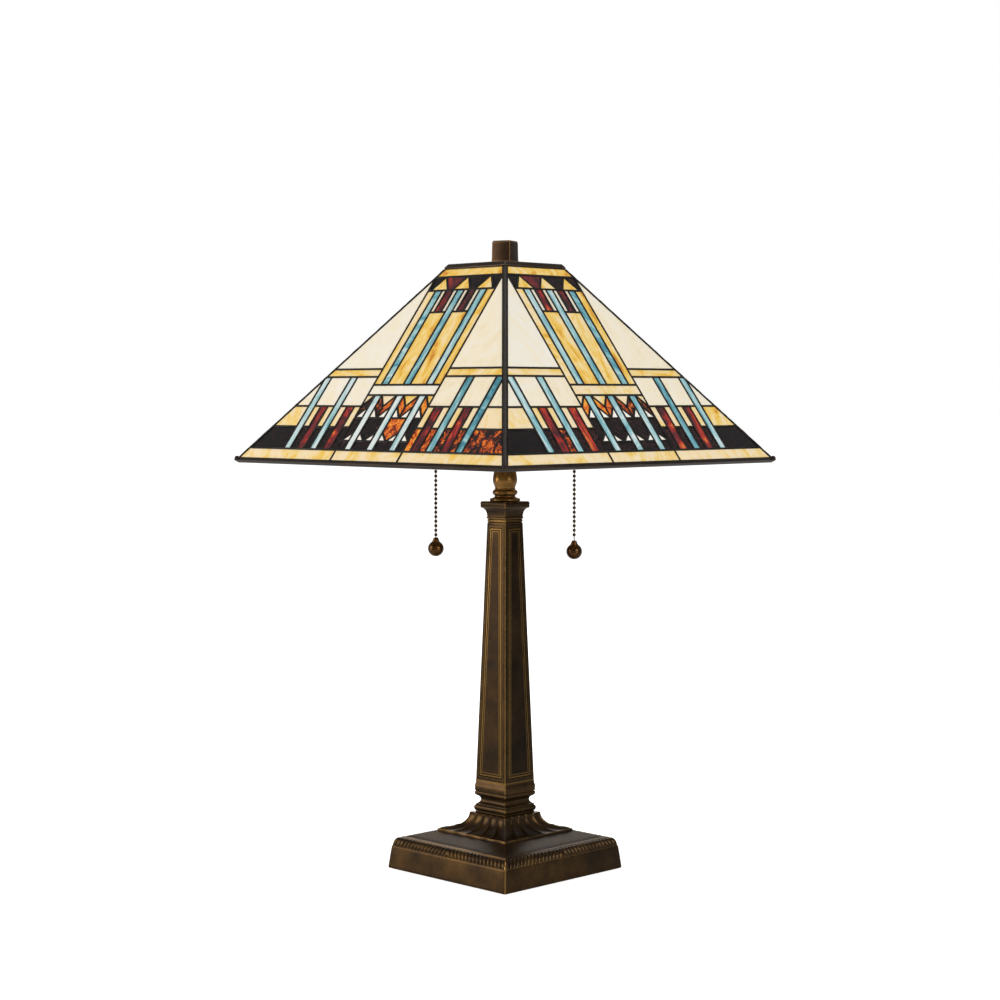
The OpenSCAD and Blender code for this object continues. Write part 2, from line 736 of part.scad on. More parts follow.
module socket_nipples() {
    length = socket_r - nipple_in - shell_r + 5;
    color("#a89a78") both_sockets() translate([nipple_in - socket_r, 0, nipple_z]) rotate([0, 90, 0])
        ring(nipple_r, nipple_r - nipple_wall, 0, length);
}

module riser_rod() {
    color("#a89a78") union() {
        translate([0, 0, hub_top - riser_seat]) cylinder(h = cap_under - hub_top + riser_seat, r = riser_r);
        translate([0, 0, cap_under - 1]) cylinder(h = cap_plate + stud_l + 1, r = stud_r);
    }
}

module shade_rest() {
    color("#9a9189") {
        ring(rest_r, riser_r + run_gap, cap_under - 1.5, 1.5);
        hex_nut(15, riser_r + run_gap, cap_under - 7, 5.5);
    }
}

module socket_caps() {
    z = socket_z;
    r = shell_r;
    w = cap_wall;
    color("#b08d4c") both_sockets() difference() {
        rotate_extrude() polygon(concat(
            [[0, z]], quarter([r - 7, z], [r, z + 7], true), [[r, shell_z], [r - w, shell_z]],
            backwards(quarter([r - 7, z + w], [r - w, z + 7], true)), [[0, z + w]]
        ));
        translate([-r - 2, 0, nipple_z]) rotate([0, 90, 0]) cylinder(h = 8, r = nipple_r);
        guide_slot();
    }
}

// Space for the lever, cut out of everything it swings through
module guide_slot() {
    x = pin_x - 4;
    translate([x, -lever_t / 2 - 0.6, pin_z - lever_drop - 1.5])
        cube([guide_x + 2.4 - x, lever_t + 1.2, lever_drop + 1.5 + 2.4]);
}

module switch_blocks() {
    color("#1d1a18") both_sockets() difference() {
        translate([0, 0, block_z]) cylinder(h = block_h, r = block_r);
        translate([0, 0, 0]) guide_slot();
        translate([pin_x, 6, pin_z]) rotate([90, 0, 0]) cylinder(h = 12, r = pin_r + run_gap);
    }
}

module socket_shells() {
    color("#b08d4c") both_sockets() difference() {
        ring(shell_r, shell_r - shell_wall, shell_z, shell_h);
        guide_slot();
    }
}

module socket_liners() {
    r = shell_r - shell_wall;
    color("#c9b48c") both_sockets() ring(r, r - liner_t, contact_z, shell_top - contact_z - 1);
}

module screw_shells() {
    color("#c8c8c4") both_sockets() difference() {
        translate([0, 0, contact_z]) cylinder(h = shell_top - contact_z - 2, r = screw_in_r + screw_wall);
        translate([0, 0, screw_z]) cylinder(h = shell_h, r = screw_in_r);
        translate([0, 0, contact_z - 1]) cylinder(h = 4, r = 6);
    }
}

module centre_contacts() {
    color("#c9a35a") both_sockets() {
        translate([0, 0, contact_z]) cylinder(h = 1, r = 4.5);
        translate([0, 0, contact_z + 0.5]) cylinder(h = bulb_z - contact_z - 0.5, r = 1.5);
    }
}

// Snout over the lever, with a bell below that leads the chain out
module chain_guides() {
    back = shell_r - 1.2;
    bell_top = guide_floor;
    bell_foot = guide_floor - bell_h;
    color("#b08d4c") both_sockets() difference() {
        union() {
            translate([back, -guide_half_w, guide_floor])
                cube([guide_x + 3.6 - back, 2 * guide_half_w, guide_top - guide_floor]);
            translate([guide_x, 0, 0]) rotate_extrude() polygon([
                [0, bell_top + 0.5], [3.4, bell_top + 0.5], [3.4, bell_top - 3], [bell_r - 0.4, bell_foot + 1],
                [bell_r, bell_foot], [0, bell_foot]
            ]);
        }
        translate([0, 0, guide_floor - 1]) cylinder(h = guide_top - guide_floor + 2, r = shell_r);
        translate([back - 1, -guide_half_w + guide_wall, guide_floor + guide_wall])
            cube([guide_x + 3.6 - guide_wall - back + 1, 2 * (guide_half_w - guide_wall),
                guide_top - guide_floor - 2 * guide_wall]);
        translate([guide_x, 0, bell_foot - 1]) cylinder(h = bell_h + 4, r = bell_bore);
        translate([guide_x, 0, 0]) rotate_extrude() polygon([
            [0, bell_foot - EPS], [bell_r - 0.8, bell_foot - EPS], [bell_bore, bell_foot + 4.5], [0, bell_foot + 4.5]
        ]);
    }
}

module lever_pins() {
    color("#9a9189") both_sockets() translate([pin_x, 5.5, pin_z]) rotate([90, 0, 0])
        cylinder(h = 11, r = pin_r);
}

module lever(right) {
    color("#c9a35a") at_socket(right) difference() {
        union() {
            translate([pin_x, lever_t / 2, pin_z]) rotate([90, 0, 0]) cylinder(h = lever_t, r = 2.3);
            translate([pin_x, -lever_t / 2, pin_z - 1.1]) cube([lever_arm - 1.4, lever_t, 2.2]);
        }
        translate([pin_x, 5, pin_z]) rotate([90, 0, 0]) cylinder(h = 10, r = pin_r + run_gap);
    }
}

// ---- Pull chains
module beads(x, z, count) {
    for (i = [0 : count - 1]) translate([x, 0, z - i * bead_pitch]) sphere(r = bead_r, $fn = 24);
}

module link(right) {
    top = pin_z - 1.8;
    color("#8d7a52") at_socket(right) union() {
        beads(guide_x, chain_z + bead_pitch, 2);
        translate([guide_x, 0, chain_z]) cylinder(h = top - chain_z, r = wire_r, $fn = 24);
    }
}

module chain(right) {
    drop = right ? right_drop : left_drop;
    color("#8d7a52") at_socket(right) union() {
        beads(guide_x, chain_z - bead_pitch, (right ? right_beads : left_beads) - 1);
        translate([guide_x, 0, chain_z - drop]) cylinder(h = drop - bead_r - 0.3, r = wire_r, $fn = 24);
    }
}

module ball(right) {
    z = chain_z - (right ? right_drop : left_drop) - ball_r - collar_h + 3;
    color("#6b4a2c") at_socket(right) translate([guide_x, 0, 0]) difference() {
        union() {
            translate([0, 0, z]) sphere(r = ball_r);
            translate([0, 0, z + ball_r - 1.2]) cylinder(h = collar_h, r1 = 3.6, r2 = 1.9);
        }
        translate([0, 0, z + ball_r + collar_h - 3]) cylinder(h = 4, r = wire_r, $fn = 24);
    }
}

// ---- Bulbs
module bulb_contact(right) {
    color("#8c8c8c") at_socket(right) translate([0, 0, bulb_z]) cylinder(h = 2.6, r = 3.4);
}

module bulb_cap(right) {
    z = bulb_z;
    r = bulb_cap_d / 2;
    color("#c8c8c4") at_socket(right) rotate_extrude() polygon([
        [3.4 + run_gap, z + 0.8], [8, z + 1.6], [r - 0.8, z + 4.4], [r, z + 6], [r, z + 25.5], [r - 0.8, z + 25.5],
        [r - 0.8, z + 6.6], [8, z + 2.8], [3.4 + run_gap, z + 2.4]
    ]);
}

module bulb_glass(right) {
    r = bulb_cap_d / 2 - 0.9;
    globe = bulb_d / 2;
    wall = 1;
    mid = bulb_z + bulb_l - globe;
    foot = bulb_z + 23;
    function body(o) = concat(
        [[r - o, foot], [r - o, foot + 5]],
        [for (i = [1 : ARC])
            let (t = i / ARC, s = t * t * (3 - 2 * t))
                [r - o + (globe - r) * s, foot + 5 + (mid - foot - 5) * t]],
        [for (i = [1 : ARC]) let (t = 90 * i / ARC) [(globe - o) * cos(t), mid + (globe - o) * sin(t)]]
    );
    out = body(0);
    in = body(wall);
    color("#f2f0ea") at_socket(right) rotate_extrude() polygon(concat(out, backwards(in)));
}

// ---- Finial
module finial_insert() {
    color("#b08d4c") difference() {
        union() {
            translate([0, 0, insert_z]) cylinder(h = insert_flange_t, r = insert_flange_r);
            translate([0, 0, insert_z]) cylinder(h = insert_top - insert_z, r = insert_r);
        }
        translate([0, 0, insert_z - 1]) cylinder(h = stud_l + 1.5, r = stud_r + run_gap);
    }
}

module finial() {
    f = finial_side / 2;
    z = finial_z;
    t = finial_z + finial_h;
    color("#4d3a2a") rotate([0, 0, finial_turn]) difference() {
        square_turn([
            [0, z], [f + 0.1, z], [f + 0.4, z + 0.9], [f + 0.1, z + 2.4], [f - 0.15, t - 1.2], [f - 1, t], [0, t]
        ]);
        translate([0, 0, z - 1]) cylinder(h = insert_top + 0.3 - z + 1, r = insert_r + run_gap);
    }
}

felt_pad();
bottom_cover();
cover_screws();
base_weight();
base_casting();
cord_bushing();
pipe_nut();
threaded_pipe();
column_foot();
column_shaft();
capital();
turned_neck();
cluster_hub();
socket_nipples();
riser_rod();
shade_rest();
socket_caps();
switch_blocks();
socket_shells();
socket_liners();
screw_shells();
centre_contacts();
chain_guides();
lever_pins();
lever(false);  // left_lever
lever(true);  // right_lever
link(false);  // left_link
link(true);  // right_link
chain(false);  // left_chain
chain(true);  // right_chain
ball(false);  // left_ball
ball(true);  // right_ball
bulb_contact(false);  // left_bulb_contact
bulb_contact(true);  // right_bulb_contact
bulb_cap(false);  // left_bulb_cap
bulb_cap(true);  // right_bulb_cap
bulb_glass(false);  // left_bulb_glass
bulb_glass(true);  // right_bulb_glass
came_panel(0);  // front_came
came_panel(1);  // right_came
came_panel(2);  // back_came
came_panel(3);  // left_came
glass(CREAM);  // cream_glass
glass(AMBER);  // amber_glass
glass(TURQUOISE);  // turquoise_glass
glass(RUBY);  // ruby_glass
glass(EMBER);  // ember_glass
glass(ONYX);  // onyx_glass
glass(WHITE);  // white_glass
hip_cames();
rim_frame();
vase_cap();
finial_insert();
finial();
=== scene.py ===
"""Looks of a table lamp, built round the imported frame.

The lamp has a leaded glass shade on a cast bronze column and base, and two pull chains.
"""

import functools
import json
import logging
import math
import random
from collections.abc import Callable, Iterable, Sequence
from dataclasses import dataclass
from enum import Enum
from typing import Union

import bmesh
import bpy
from mathutils import Matrix, Vector, noise

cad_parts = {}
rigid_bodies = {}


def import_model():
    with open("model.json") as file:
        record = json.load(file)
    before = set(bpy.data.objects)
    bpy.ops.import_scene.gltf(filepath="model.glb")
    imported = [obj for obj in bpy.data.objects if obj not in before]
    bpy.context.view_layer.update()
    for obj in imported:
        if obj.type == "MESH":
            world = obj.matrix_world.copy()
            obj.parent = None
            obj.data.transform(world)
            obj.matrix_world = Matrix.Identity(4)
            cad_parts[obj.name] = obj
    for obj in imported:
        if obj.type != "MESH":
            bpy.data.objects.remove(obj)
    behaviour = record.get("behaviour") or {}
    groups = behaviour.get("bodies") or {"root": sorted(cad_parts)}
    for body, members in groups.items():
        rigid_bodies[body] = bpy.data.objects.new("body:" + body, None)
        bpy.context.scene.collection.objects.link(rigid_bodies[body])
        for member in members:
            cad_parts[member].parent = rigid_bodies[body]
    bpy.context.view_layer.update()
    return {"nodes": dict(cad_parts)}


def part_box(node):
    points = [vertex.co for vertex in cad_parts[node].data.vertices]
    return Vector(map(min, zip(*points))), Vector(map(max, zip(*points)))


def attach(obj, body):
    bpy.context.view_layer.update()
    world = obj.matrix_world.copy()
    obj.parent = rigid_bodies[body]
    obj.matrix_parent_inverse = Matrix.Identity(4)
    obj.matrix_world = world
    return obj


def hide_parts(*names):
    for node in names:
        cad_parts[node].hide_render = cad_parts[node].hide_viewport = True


log = logging.getLogger("lamp")

MM = 0.001

TINY = 1e-9
MERGE_MM = 0.002  # doubles in a copy of a node's mesh
LOFT_MERGE_MM = 0.001  # doubles where the four sides of a loft meet
SEAM_MM = 0.0005  # doubles at a pole or seam, and edges too short to keep
ALIGNED = 0.98  # least cosine of a face that counts as looking straight out
EASED_WEAR_AND_HIGHLIGHT = 0.5  # rubbing and painted highlight on an edge that was rounded
CHAIN_ACROSS = 45.8205  # each chain's distance from both middle planes

Value = Union["Wire", float, Sequence[float]]
Relief = Callable[[int, float, float], float]
Point = tuple[float, float]
Ring = tuple[float, float, float]
Stops = Sequence[tuple[float, str]]
Nodes = dict[str, bpy.types.Object]


def linear(code: str) -> tuple[float, float, float, float]:
    """Linear colour of a six-digit web colour."""
    parts = (int(code[i : i + 2], 16) / 255 for i in (0, 2, 4))
    return (*(c / 12.92 if c <= 0.04045 else ((c + 0.055) / 1.055) ** 2.4 for c in parts), 1.0)


# ---------------------------------------------------------------- shader maths


class Wire:
    """A value in a material's nodes. Python's operators on it write Math nodes."""

    def __init__(self, tree: "Tree", socket: bpy.types.NodeSocket) -> None:
        """Keeps the tree that the socket belongs to, and the socket."""
        self.tree = tree
        self.socket = socket

    def _math(
        self, operation: str, first: "Value", second: "Value" = 0.0, clamp: bool = False
    ) -> "Wire":
        """Writes one Math node and gives its result."""
        settings = {"operation": operation, "use_clamp": clamp}
        return self.tree.node("ShaderNodeMath", settings, {0: first, 1: second})

    def __add__(self, other: "Value") -> "Wire":
        """Sum."""
        return self._math("ADD", self, other)

    __radd__ = __add__

    def __sub__(self, other: "Value") -> "Wire":
        """Difference."""
        return self._math("SUBTRACT", self, other)

    def __rsub__(self, other: "Value") -> "Wire":
        """Difference from a number."""
        return self._math("SUBTRACT", other, self)

    def __mul__(self, other: "Value") -> "Wire":
        """Product."""
        return self._math("MULTIPLY", self, other)

    __rmul__ = __mul__

    def clipped(self) -> "Wire":
        """The value held between 0 and 1."""
        return self._math("ADD", self, 0.0, clamp=True)


class Tree:
    """The nodes of one material, ending in a Principled surface."""

    def __init__(self, name: str) -> None:
        """Makes an empty material.

        Args:
            name: The material's name.
        """
        self.material = bpy.data.materials.new(name)
        self.material.use_nodes = True
        self.nodes = self.material.node_tree.nodes
        self.links = self.material.node_tree.links
        self.nodes.clear()

    def _put(self, socket: bpy.types.NodeSocket, value: "Value") -> None:
        """Links a wire to a socket, or sets the socket to a plain value.

        Args:
            socket: An input of a node.
            value: The wire, number, colour or vector for it.
        """
        if isinstance(value, Wire):
            self.links.new(value.socket, socket)
        else:
            socket.default_value = value

    def node(
        self, kind: str, settings: dict | None = None, values: dict | None = None, out: int = 0
    ) -> Wire:
        """Adds any node.

        Args:
            kind: The node's type.
            settings: Its own settings, and "stops" for a ramp's colours. They are set first.
            values: Values or wires for its sockets, by name or number.
            out: Which of its results is wanted.

        Returns:
            The result as a wire.
        """
        made = self.nodes.new(kind)
        for key, setting in (settings or {}).items():
            if key == "stops":
                self._fill_ramp(made.color_ramp, setting)
            else:
                setattr(made, key, setting)
        for key, value in (values or {}).items():
            self._put(made.inputs[key], value)
        return Wire(self, made.outputs[out])

    @staticmethod
    def _fill_ramp(ramp: bpy.types.ColorRamp, stops: Stops) -> None:
        """Gives a colour ramp its stops.

        Args:
            ramp: A ramp with its first two stops.
            stops: Places from 0 to 1, with web colours.
        """
        while len(ramp.elements) < len(stops):
            ramp.elements.new(1.0)
        for element, (place, code) in zip(ramp.elements, stops):
            element.position = place
            element.color = linear(code)

    def place(self) -> Wire:
        """Object coordinates, in metres."""
        return self.node("ShaderNodeTexCoord", out=3)

    def attribute(self, name: str, out: int = 2) -> Wire:
        """An attribute of the mesh: result 1 is its vector, 2 its number."""
        return self.node("ShaderNodeAttribute", {"attribute_name": name}, out=out)

    def stretch(self, at: Wire, scale: Sequence[float]) -> Wire:
        """A vector multiplied by another."""
        return self.node("ShaderNodeVectorMath", {"operation": "MULTIPLY"}, {0: at, 1: scale})

    def grain(
        self, at: Wire, scale: float, detail: float = 3.0, rough: float = 0.55, twist: float = 0.0
    ) -> Wire:
        """Noise about 0.5.

        Args:
            at: Where the noise is read.
            scale: How many lumps there are to a unit.
            detail: How many finer layers are added.
            rough: How strong the finer layers are.
            twist: How far the noise bends itself.

        Returns:
            The noise, from 0 to 1.
        """
        values = {"Vector": at, "Scale": scale, "Detail": detail, "Roughness": rough}
        return self.node("ShaderNodeTexNoise", None, {**values, "Distortion": twist})

    def ramp(self, amount: Wire, stops: Stops) -> Wire:
        """A colour that runs through the stops as the amount grows."""
        return self.node("ShaderNodeValToRGB", {"stops": stops}, {0: amount})

    def mix(self, amount: "Value", first: "Value", second: "Value") -> Wire:
        """Two colours mixed."""
        values = {0: amount, 6: first, 7: second}
        return self.node("ShaderNodeMix", {"data_type": "RGBA"}, values, out=2)

    def bump(self, height: Wire, depth_mm: float) -> Wire:
        """A normal that stands and falls with a height from 0 to 1."""
        values = {"Strength": 1.0, "Distance": depth_mm * MM, "Height": height}
        return self.node("ShaderNodeBump", None, values)

    def surface(self, **values: "Value") -> bpy.types.Material:
        """Ends the tree in a Principled surface.

        Args:
            values: Values or wires by socket name, with _ for the name's spaces.

        Returns:
            The finished material.
        """
        named = {key.replace("_", " "): value for key, value in values.items()}
        shader = self.node("ShaderNodeBsdfPrincipled", None, named)
        output = self.nodes.new("ShaderNodeOutputMaterial")
        self.links.new(shader.socket, output.inputs["Surface"])
        return self.material


# ---------------------------------------------------------------- finishes


@dataclass(frozen=True)
class CastMetal:
    """Cast or rolled metal with a patina: darker in hollows, from patina and painted shade, and
    bright on edges, from rubbing and a painted highlight.

    The mesh may carry a number from -1 in a groove to 1 on an edge, read for patina and painted
    shade in hollows and for rubbing and a painted highlight on edges.
    """

    name: str
    deep: str
    body: str
    warm: str
    rubbed_and_highlight: str
    metal: float = 0.75
    rough: float = 0.42
    grain_mm: float = 0.06
    rub_and_highlight: float = 0.75
    cloud_scale: float = 38
    fine_scale: float = 900

    def build(self) -> bpy.types.Material:
        """Builds the metal from clouds of patina, fine grain, rubbing, and painted shade and
        highlight.

        Returns:
            The material.
        """
        tree = Tree(self.name)
        at = tree.place()
        cloud = tree.grain(at, self.cloud_scale, 4, 0.6)
        fine = tree.grain(at, self.fine_scale, 3, 0.6)
        worn = tree.attribute("worn")
        stops = ((0.3, self.deep), (0.5, self.body), (0.72, self.warm))
        tone = tree.ramp(cloud * 0.8 + fine * 0.2, stops)
        # Painted shade in hollows, laid over the darker patina that gathers there.
        hollow = (worn * -2.2).clipped()
        # Bright edges: rubbed metal with a painted highlight.
        edge = (worn * 1.6 + (fine - 0.5) * 0.5 - 0.12).clipped() * self.rub_and_highlight
        patina = tree.mix(hollow * 0.8, tone, linear(self.deep))
        return tree.surface(
            Base_Color=tree.mix(edge, patina, linear(self.rubbed_and_highlight)),
            Metallic=self.metal,
            Roughness=(cloud - 0.5) * 0.22 + (fine - 0.5) * 0.12 - edge * 0.1 + self.rough,
            Normal=tree.bump(fine * 0.6 + cloud * 0.4, self.grain_mm),
        )


@dataclass(frozen=True)
class Opalescent:
    """Rolled art glass, from pale to deep.

    Each pane carries its place on a sheet (streak) and its depth of colour (tone).
    """

    name: str
    stops: Stops
    streak: float = 0.35
    cloud: float = 0.3
    rough: float = 0.2
    painted_glow: float = 0.12
    ripple_mm: float = 0.12
    streak_scale: Ring = (0.018, 0.11, 1.0)
    ripple_scale: Ring = (0.12, 0.3, 1.0)
    cloud_scale: float = 0.05
    speck_scale: float = 1.4

    def build(self) -> bpy.types.Material:
        """Builds the glass from long streaks, clouds, specks and the roller's ripple.

        Returns:
            The material.
        """
        tree = Tree(self.name)
        at = tree.attribute("streak", out=1)
        tone = tree.attribute("tone")
        long_streak = tree.grain(tree.stretch(at, self.streak_scale), 1.0, 4, 0.6, 0.5)
        clouds = tree.grain(at, self.cloud_scale, 3, 0.5, 0.8)
        ripple = tree.grain(tree.stretch(at, self.ripple_scale), 1.0, 2, 0.5, 0.3)
        speck = tree.grain(at, self.speck_scale, 2, 0.6)
        streaks = (long_streak - 0.5) * (4.5 * self.streak)
        depth = tone + streaks + (clouds - 0.5) * (4 * self.cloud)
        colour = tree.ramp((depth + (speck - 0.5) * 0.12).clipped(), self.stops)
        return tree.surface(
            Base_Color=colour,
            Roughness=ripple * 0.12 + (self.rough - 0.06),
            Coat_Weight=0.35,
            Coat_Roughness=0.08,
            # Painted glow: the glass gives off its own colour, standing in for light through it.
            Emission_Color=colour,
            Emission_Strength=self.painted_glow,
            Normal=tree.bump(ripple * 0.8 + speck * 0.2, self.ripple_mm),
        )


@dataclass(frozen=True)
class MottledGlass:
    """Near-black glass with fiery or plum fleck, which fills more of a pane as its tone grows."""

    name: str
    dark: str
    fire: Stops
    size: float = 0.13
    painted_glow: float = 0.08
    shine: float = 0.4
    spark: str = "8a6a66"
    fleck_scale: float = 0.9
    ripple_scale: float = 0.35
    spark_scale: float = 2.3
    ripple_mm: float = 0.25

    def build(self) -> bpy.types.Material:
        """Builds the glass from blobs, flecks within them and a few bright sparks.

        Returns:
            The material.
        """
        tree = Tree(self.name)
        at = tree.attribute("streak", out=1)
        tone = tree.attribute("tone")
        blob = tree.grain(at, self.size, 3, 0.6, 0.9)
        fleck = tree.grain(at, self.fleck_scale, 3, 0.7)
        ripple = tree.grain(at, self.ripple_scale, 2, 0.5)
        lit = ((blob - 0.5) * 6 + (fleck - 0.5) * 3.5 + (tone - 0.5) * 2.2 + 0.25).clipped()
        spark = ((tree.grain(at, self.spark_scale, 2, 0.6) - 0.6) * 8).clipped() * 0.45
        heat = ((blob - 0.5) * 1.4 + (fleck - 0.5) * 1.2 + tone * 0.35 + 0.25).clipped()
        glass = tree.mix(lit, linear(self.dark), tree.ramp(heat, self.fire))
        colour = tree.mix(spark, glass, linear(self.spark))
        return tree.surface(
            Base_Color=colour,
            Roughness=ripple * 0.15 + 0.12,
            Specular_IOR_Level=self.shine,
            Coat_Weight=self.shine * 0.5,
            Coat_Roughness=0.06,
            # Painted glow: the glass gives off its own colour, standing in for light through it.
            Emission_Color=colour,
            Emission_Strength=self.painted_glow,
            Normal=tree.bump(ripple * 0.6 + fleck * 0.4, self.ripple_mm),
        )


@dataclass(frozen=True)
class Solder:
    """Dark patina on soldered copper foil, lumpy from the iron, with a dull shine."""

    name: str
    dark: str = "12100f"
    brown: str = "2e2823"
    bare_and_highlight: str = "8d7a66"
    lump_scale: float = 210
    patch_scale: float = 60
    lump_mm: float = 0.35

    def build(self) -> bpy.types.Material:
        """Builds the solder from lumps, patches of patina and bare worn edges.

        Returns:
            The material.
        """
        tree = Tree(self.name)
        at = tree.place()
        lump = tree.grain(at, self.lump_scale, 2, 0.5)
        patch = tree.grain(at, self.patch_scale, 4, 0.6)
        # Paler colour on rounded edges: solder rubbed through, with a painted highlight.
        shine = (tree.attribute("worn") * 1.5).clipped() * 0.3
        tone = tree.ramp(patch * 0.7 + lump * 0.3, ((0.35, self.dark), (0.7, self.brown)))
        return tree.surface(
            Base_Color=tree.mix(shine, tone, linear(self.bare_and_highlight)),
            Metallic=0.55,
            Roughness=patch * 0.25 + 0.3,
            Normal=tree.bump(lump, self.lump_mm),
        )


@dataclass(frozen=True)
class Felt:
    """Short matted fibres."""

    name: str
    shade: str
    dusty: str = "6b625a"
    fibre_scale: float = 1600
    patch_scale: float = 55
    fibre_mm: float = 0.2

    def build(self) -> bpy.types.Material:
        """Builds the felt from fibres and paler patches.

        Returns:
            The material.
        """
        tree = Tree(self.name)
        at = tree.place()
        fibre = tree.grain(tree.stretch(at, (1.0, 0.4, 1.0)), self.fibre_scale, 4, 0.7, 1.5)
        patch = tree.grain(at, self.patch_scale, 3, 0.5)
        light = tree.mix(0.35, linear(self.shade), linear(self.dusty))
        return tree.surface(
            Base_Color=tree.mix(fibre * 0.6 + patch * 0.3, linear(self.shade), light),
            Roughness=fibre * 0.1 + 0.88,
            Sheen_Weight=0.4,
            Normal=tree.bump(fibre, self.fibre_mm),
        )


@dataclass(frozen=True)
class Moulded:
    """Phenolic plastic or vulcanised fibre: faint mottling and fine mould texture."""

    name: str
    first: str
    second: str
    rough: float = 0.4
    mottle_scale: float = 130
    skin_scale: float = 1300
    skin_mm: float = 0.05

    def build(self) -> bpy.types.Material:
        """Builds the plastic from its mottling and the mould's skin.

        Returns:
            The material.
        """
        tree = Tree(self.name)
        at = tree.place()
        mottle = tree.grain(at, self.mottle_scale, 5, 0.65, 1.2)
        skin = tree.grain(at, self.skin_scale, 2, 0.5)
        return tree.surface(
            Base_Color=tree.ramp(mottle, ((0.35, self.first), (0.7, self.second))),
            Roughness=skin * 0.15 + (self.rough - 0.07),
            Normal=tree.bump(skin, self.skin_mm),
        )


@dataclass(frozen=True)
class FrostedGlass:
    """Bulb glass with a white coating inside."""

    name: str
    thin: str = "efe9dc"
    thick: str = "fffaf0"
    dust_scale: float = 240

    def build(self) -> bpy.types.Material:
        """Builds the glass from the coating's uneven dust.

        Returns:
            The material.
        """
        tree = Tree(self.name)
        dust = tree.grain(tree.place(), self.dust_scale, 3, 0.6)
        colour = tree.ramp(dust, ((0.3, self.thin), (0.7, self.thick)))
        return tree.surface(
            Base_Color=colour,
            Roughness=dust * 0.1 + 0.22,
            Coat_Weight=0.5,
            Coat_Roughness=0.05,
            Emission_Color=colour,
            Emission_Strength=0.35,
        )


class Finish(Enum):
    """Every finish on the lamp.

    A metal's colours run from hollow (patina and painted shade) to bright edge (rubbing and painted
    highlight), then come its metalness, roughness, grain in millimetres and strength of rubbing and
    painted highlight.
    """

    BRONZE = CastMetal(
        "antique_bronze", "1f150a", "3b2912", "533c1a", "b68f52", 0.82, 0.34, 0.05, 0.65
    )
    # A darker copy of the bronze for the shaft: painted shade.
    COLUMN = CastMetal(
        "column_bronze_painted_shade", "150e07", "291c0d", "3d2b14", "b8914f", 0.88, 0.33, 0.05, 0.6
    )
    # A lighter copy of the bronze for the neck: painted highlight.
    NECK = CastMetal("neck_bronze_painted_highlight", "4a3418", "866231", "a07840", "dcb67a", 0.88, 0.24, 0.03, 0.5)
    BALL = CastMetal("ball_patina", "26180b", "553818", "6e4c22", "a88350", 0.85, 0.2, 0.02, 0.4)
    CHAIN = CastMetal("chain_bronze", "1f150a", "4a351a", "5f4622", "a98650", 0.85, 0.28, 0.02, 0.5)
    RIM = CastMetal("rim_brass", "120d09", "261b14", "38291c", "7a6044", 0.6, 0.42, 0.05, 0.4)
    FINIAL = CastMetal(
        "finial_bronze", "1a100a", "3d2815", "573a1e", "a07c50", 0.75, 0.4, 0.05, 0.7
    )
    BRASS = CastMetal("socket_brass", "6f5220", "a9823a", "c29c50", "e6cd92", 0.95, 0.3, 0.02)
    STEEL = CastMetal("zinced_steel", "55534f", "85827c", "a09c94", "d0ccc4", 0.95, 0.36, 0.02)
    IRON = CastMetal("grey_iron", "26241f", "3e3c39", "55524e", "7d7973", 0.7, 0.62, 0.2)
    ALUMINIUM = CastMetal(
        "screw_aluminium", "8f8f8c", "b9b9b5", "cfcfcb", "efefec", 0.95, 0.28, 0.02
    )
    SOLDER = Solder("solder_patina")
    FELT = Felt("base_felt", "1d1917")
    PLASTIC = Moulded("phenolic", "0e0c0b", "221d1a")
    FIBRE = Moulded("vulcan_fibre", "8a6d44", "b89a68", 0.7)
    BULB = FrostedGlass("bulb_frost")
    CREAM = Opalescent(
        "cream_opal",
        ((0.0, "f0ebdf"), (0.45, "f1e5ca"), (1.0, "e2cb9c")),
        streak=0.2,
        cloud=0.22,
        rough=0.22,
        painted_glow=0.12,
        ripple_mm=0.08,
    )
    AMBER = Opalescent(
        "amber_opal",
        ((0.0, "f4dfb8"), (0.35, "f2d386"), (0.65, "efc24f"), (1.0, "cf8524")),
        streak=0.42,
        cloud=0.34,
        rough=0.2,
        painted_glow=0.1,
    )
    TURQUOISE = Opalescent(
        "turquoise_opal",
        ((0.0, "e4eeee"), (0.4, "a4ced2"), (0.7, "6aaab6"), (1.0, "3d7f93")),
        streak=0.4,
        cloud=0.2,
        rough=0.2,
        painted_glow=0.06,
    )
    RUBY = Opalescent(
        "ruby_opal",
        ((0.0, "26080d"), (0.38, "5e131a"), (0.62, "981d18"), (0.85, "bf3c1c"), (1.0, "d9732c")),
        streak=0.55,
        cloud=0.45,
        rough=0.14,
        painted_glow=0.08,
    )
    WHITE = Opalescent(
        "white_opal",
        ((0.0, "fbf7f1"), (0.4, "f1e6d2"), (1.0, "e6c48c")),
        streak=0.1,
        cloud=0.1,
        rough=0.22,
        painted_glow=0.14,
        ripple_mm=0.08,
    )
    EMBER = MottledGlass(
        "ember_mottle",
        "120506",
        ((0.22, "5e1207"), (0.45, "b33409"), (0.65, "e26a14"), (0.9, "f4b23c")),
        size=0.13,
        painted_glow=0.14,
    )
    ONYX = MottledGlass(
        "onyx_mottle",
        "040304",
        ((0.3, "190a10"), (0.6, "3a141a"), (0.9, "8a5a52")),
        size=0.4,
        painted_glow=0.02,
        shine=0.25,
    )

    @functools.cache
    def material(self) -> bpy.types.Material:
        """The finish's material, made the first time that it is asked for."""
        return self.value.build()


# ---------------------------------------------------------------- mesh helpers


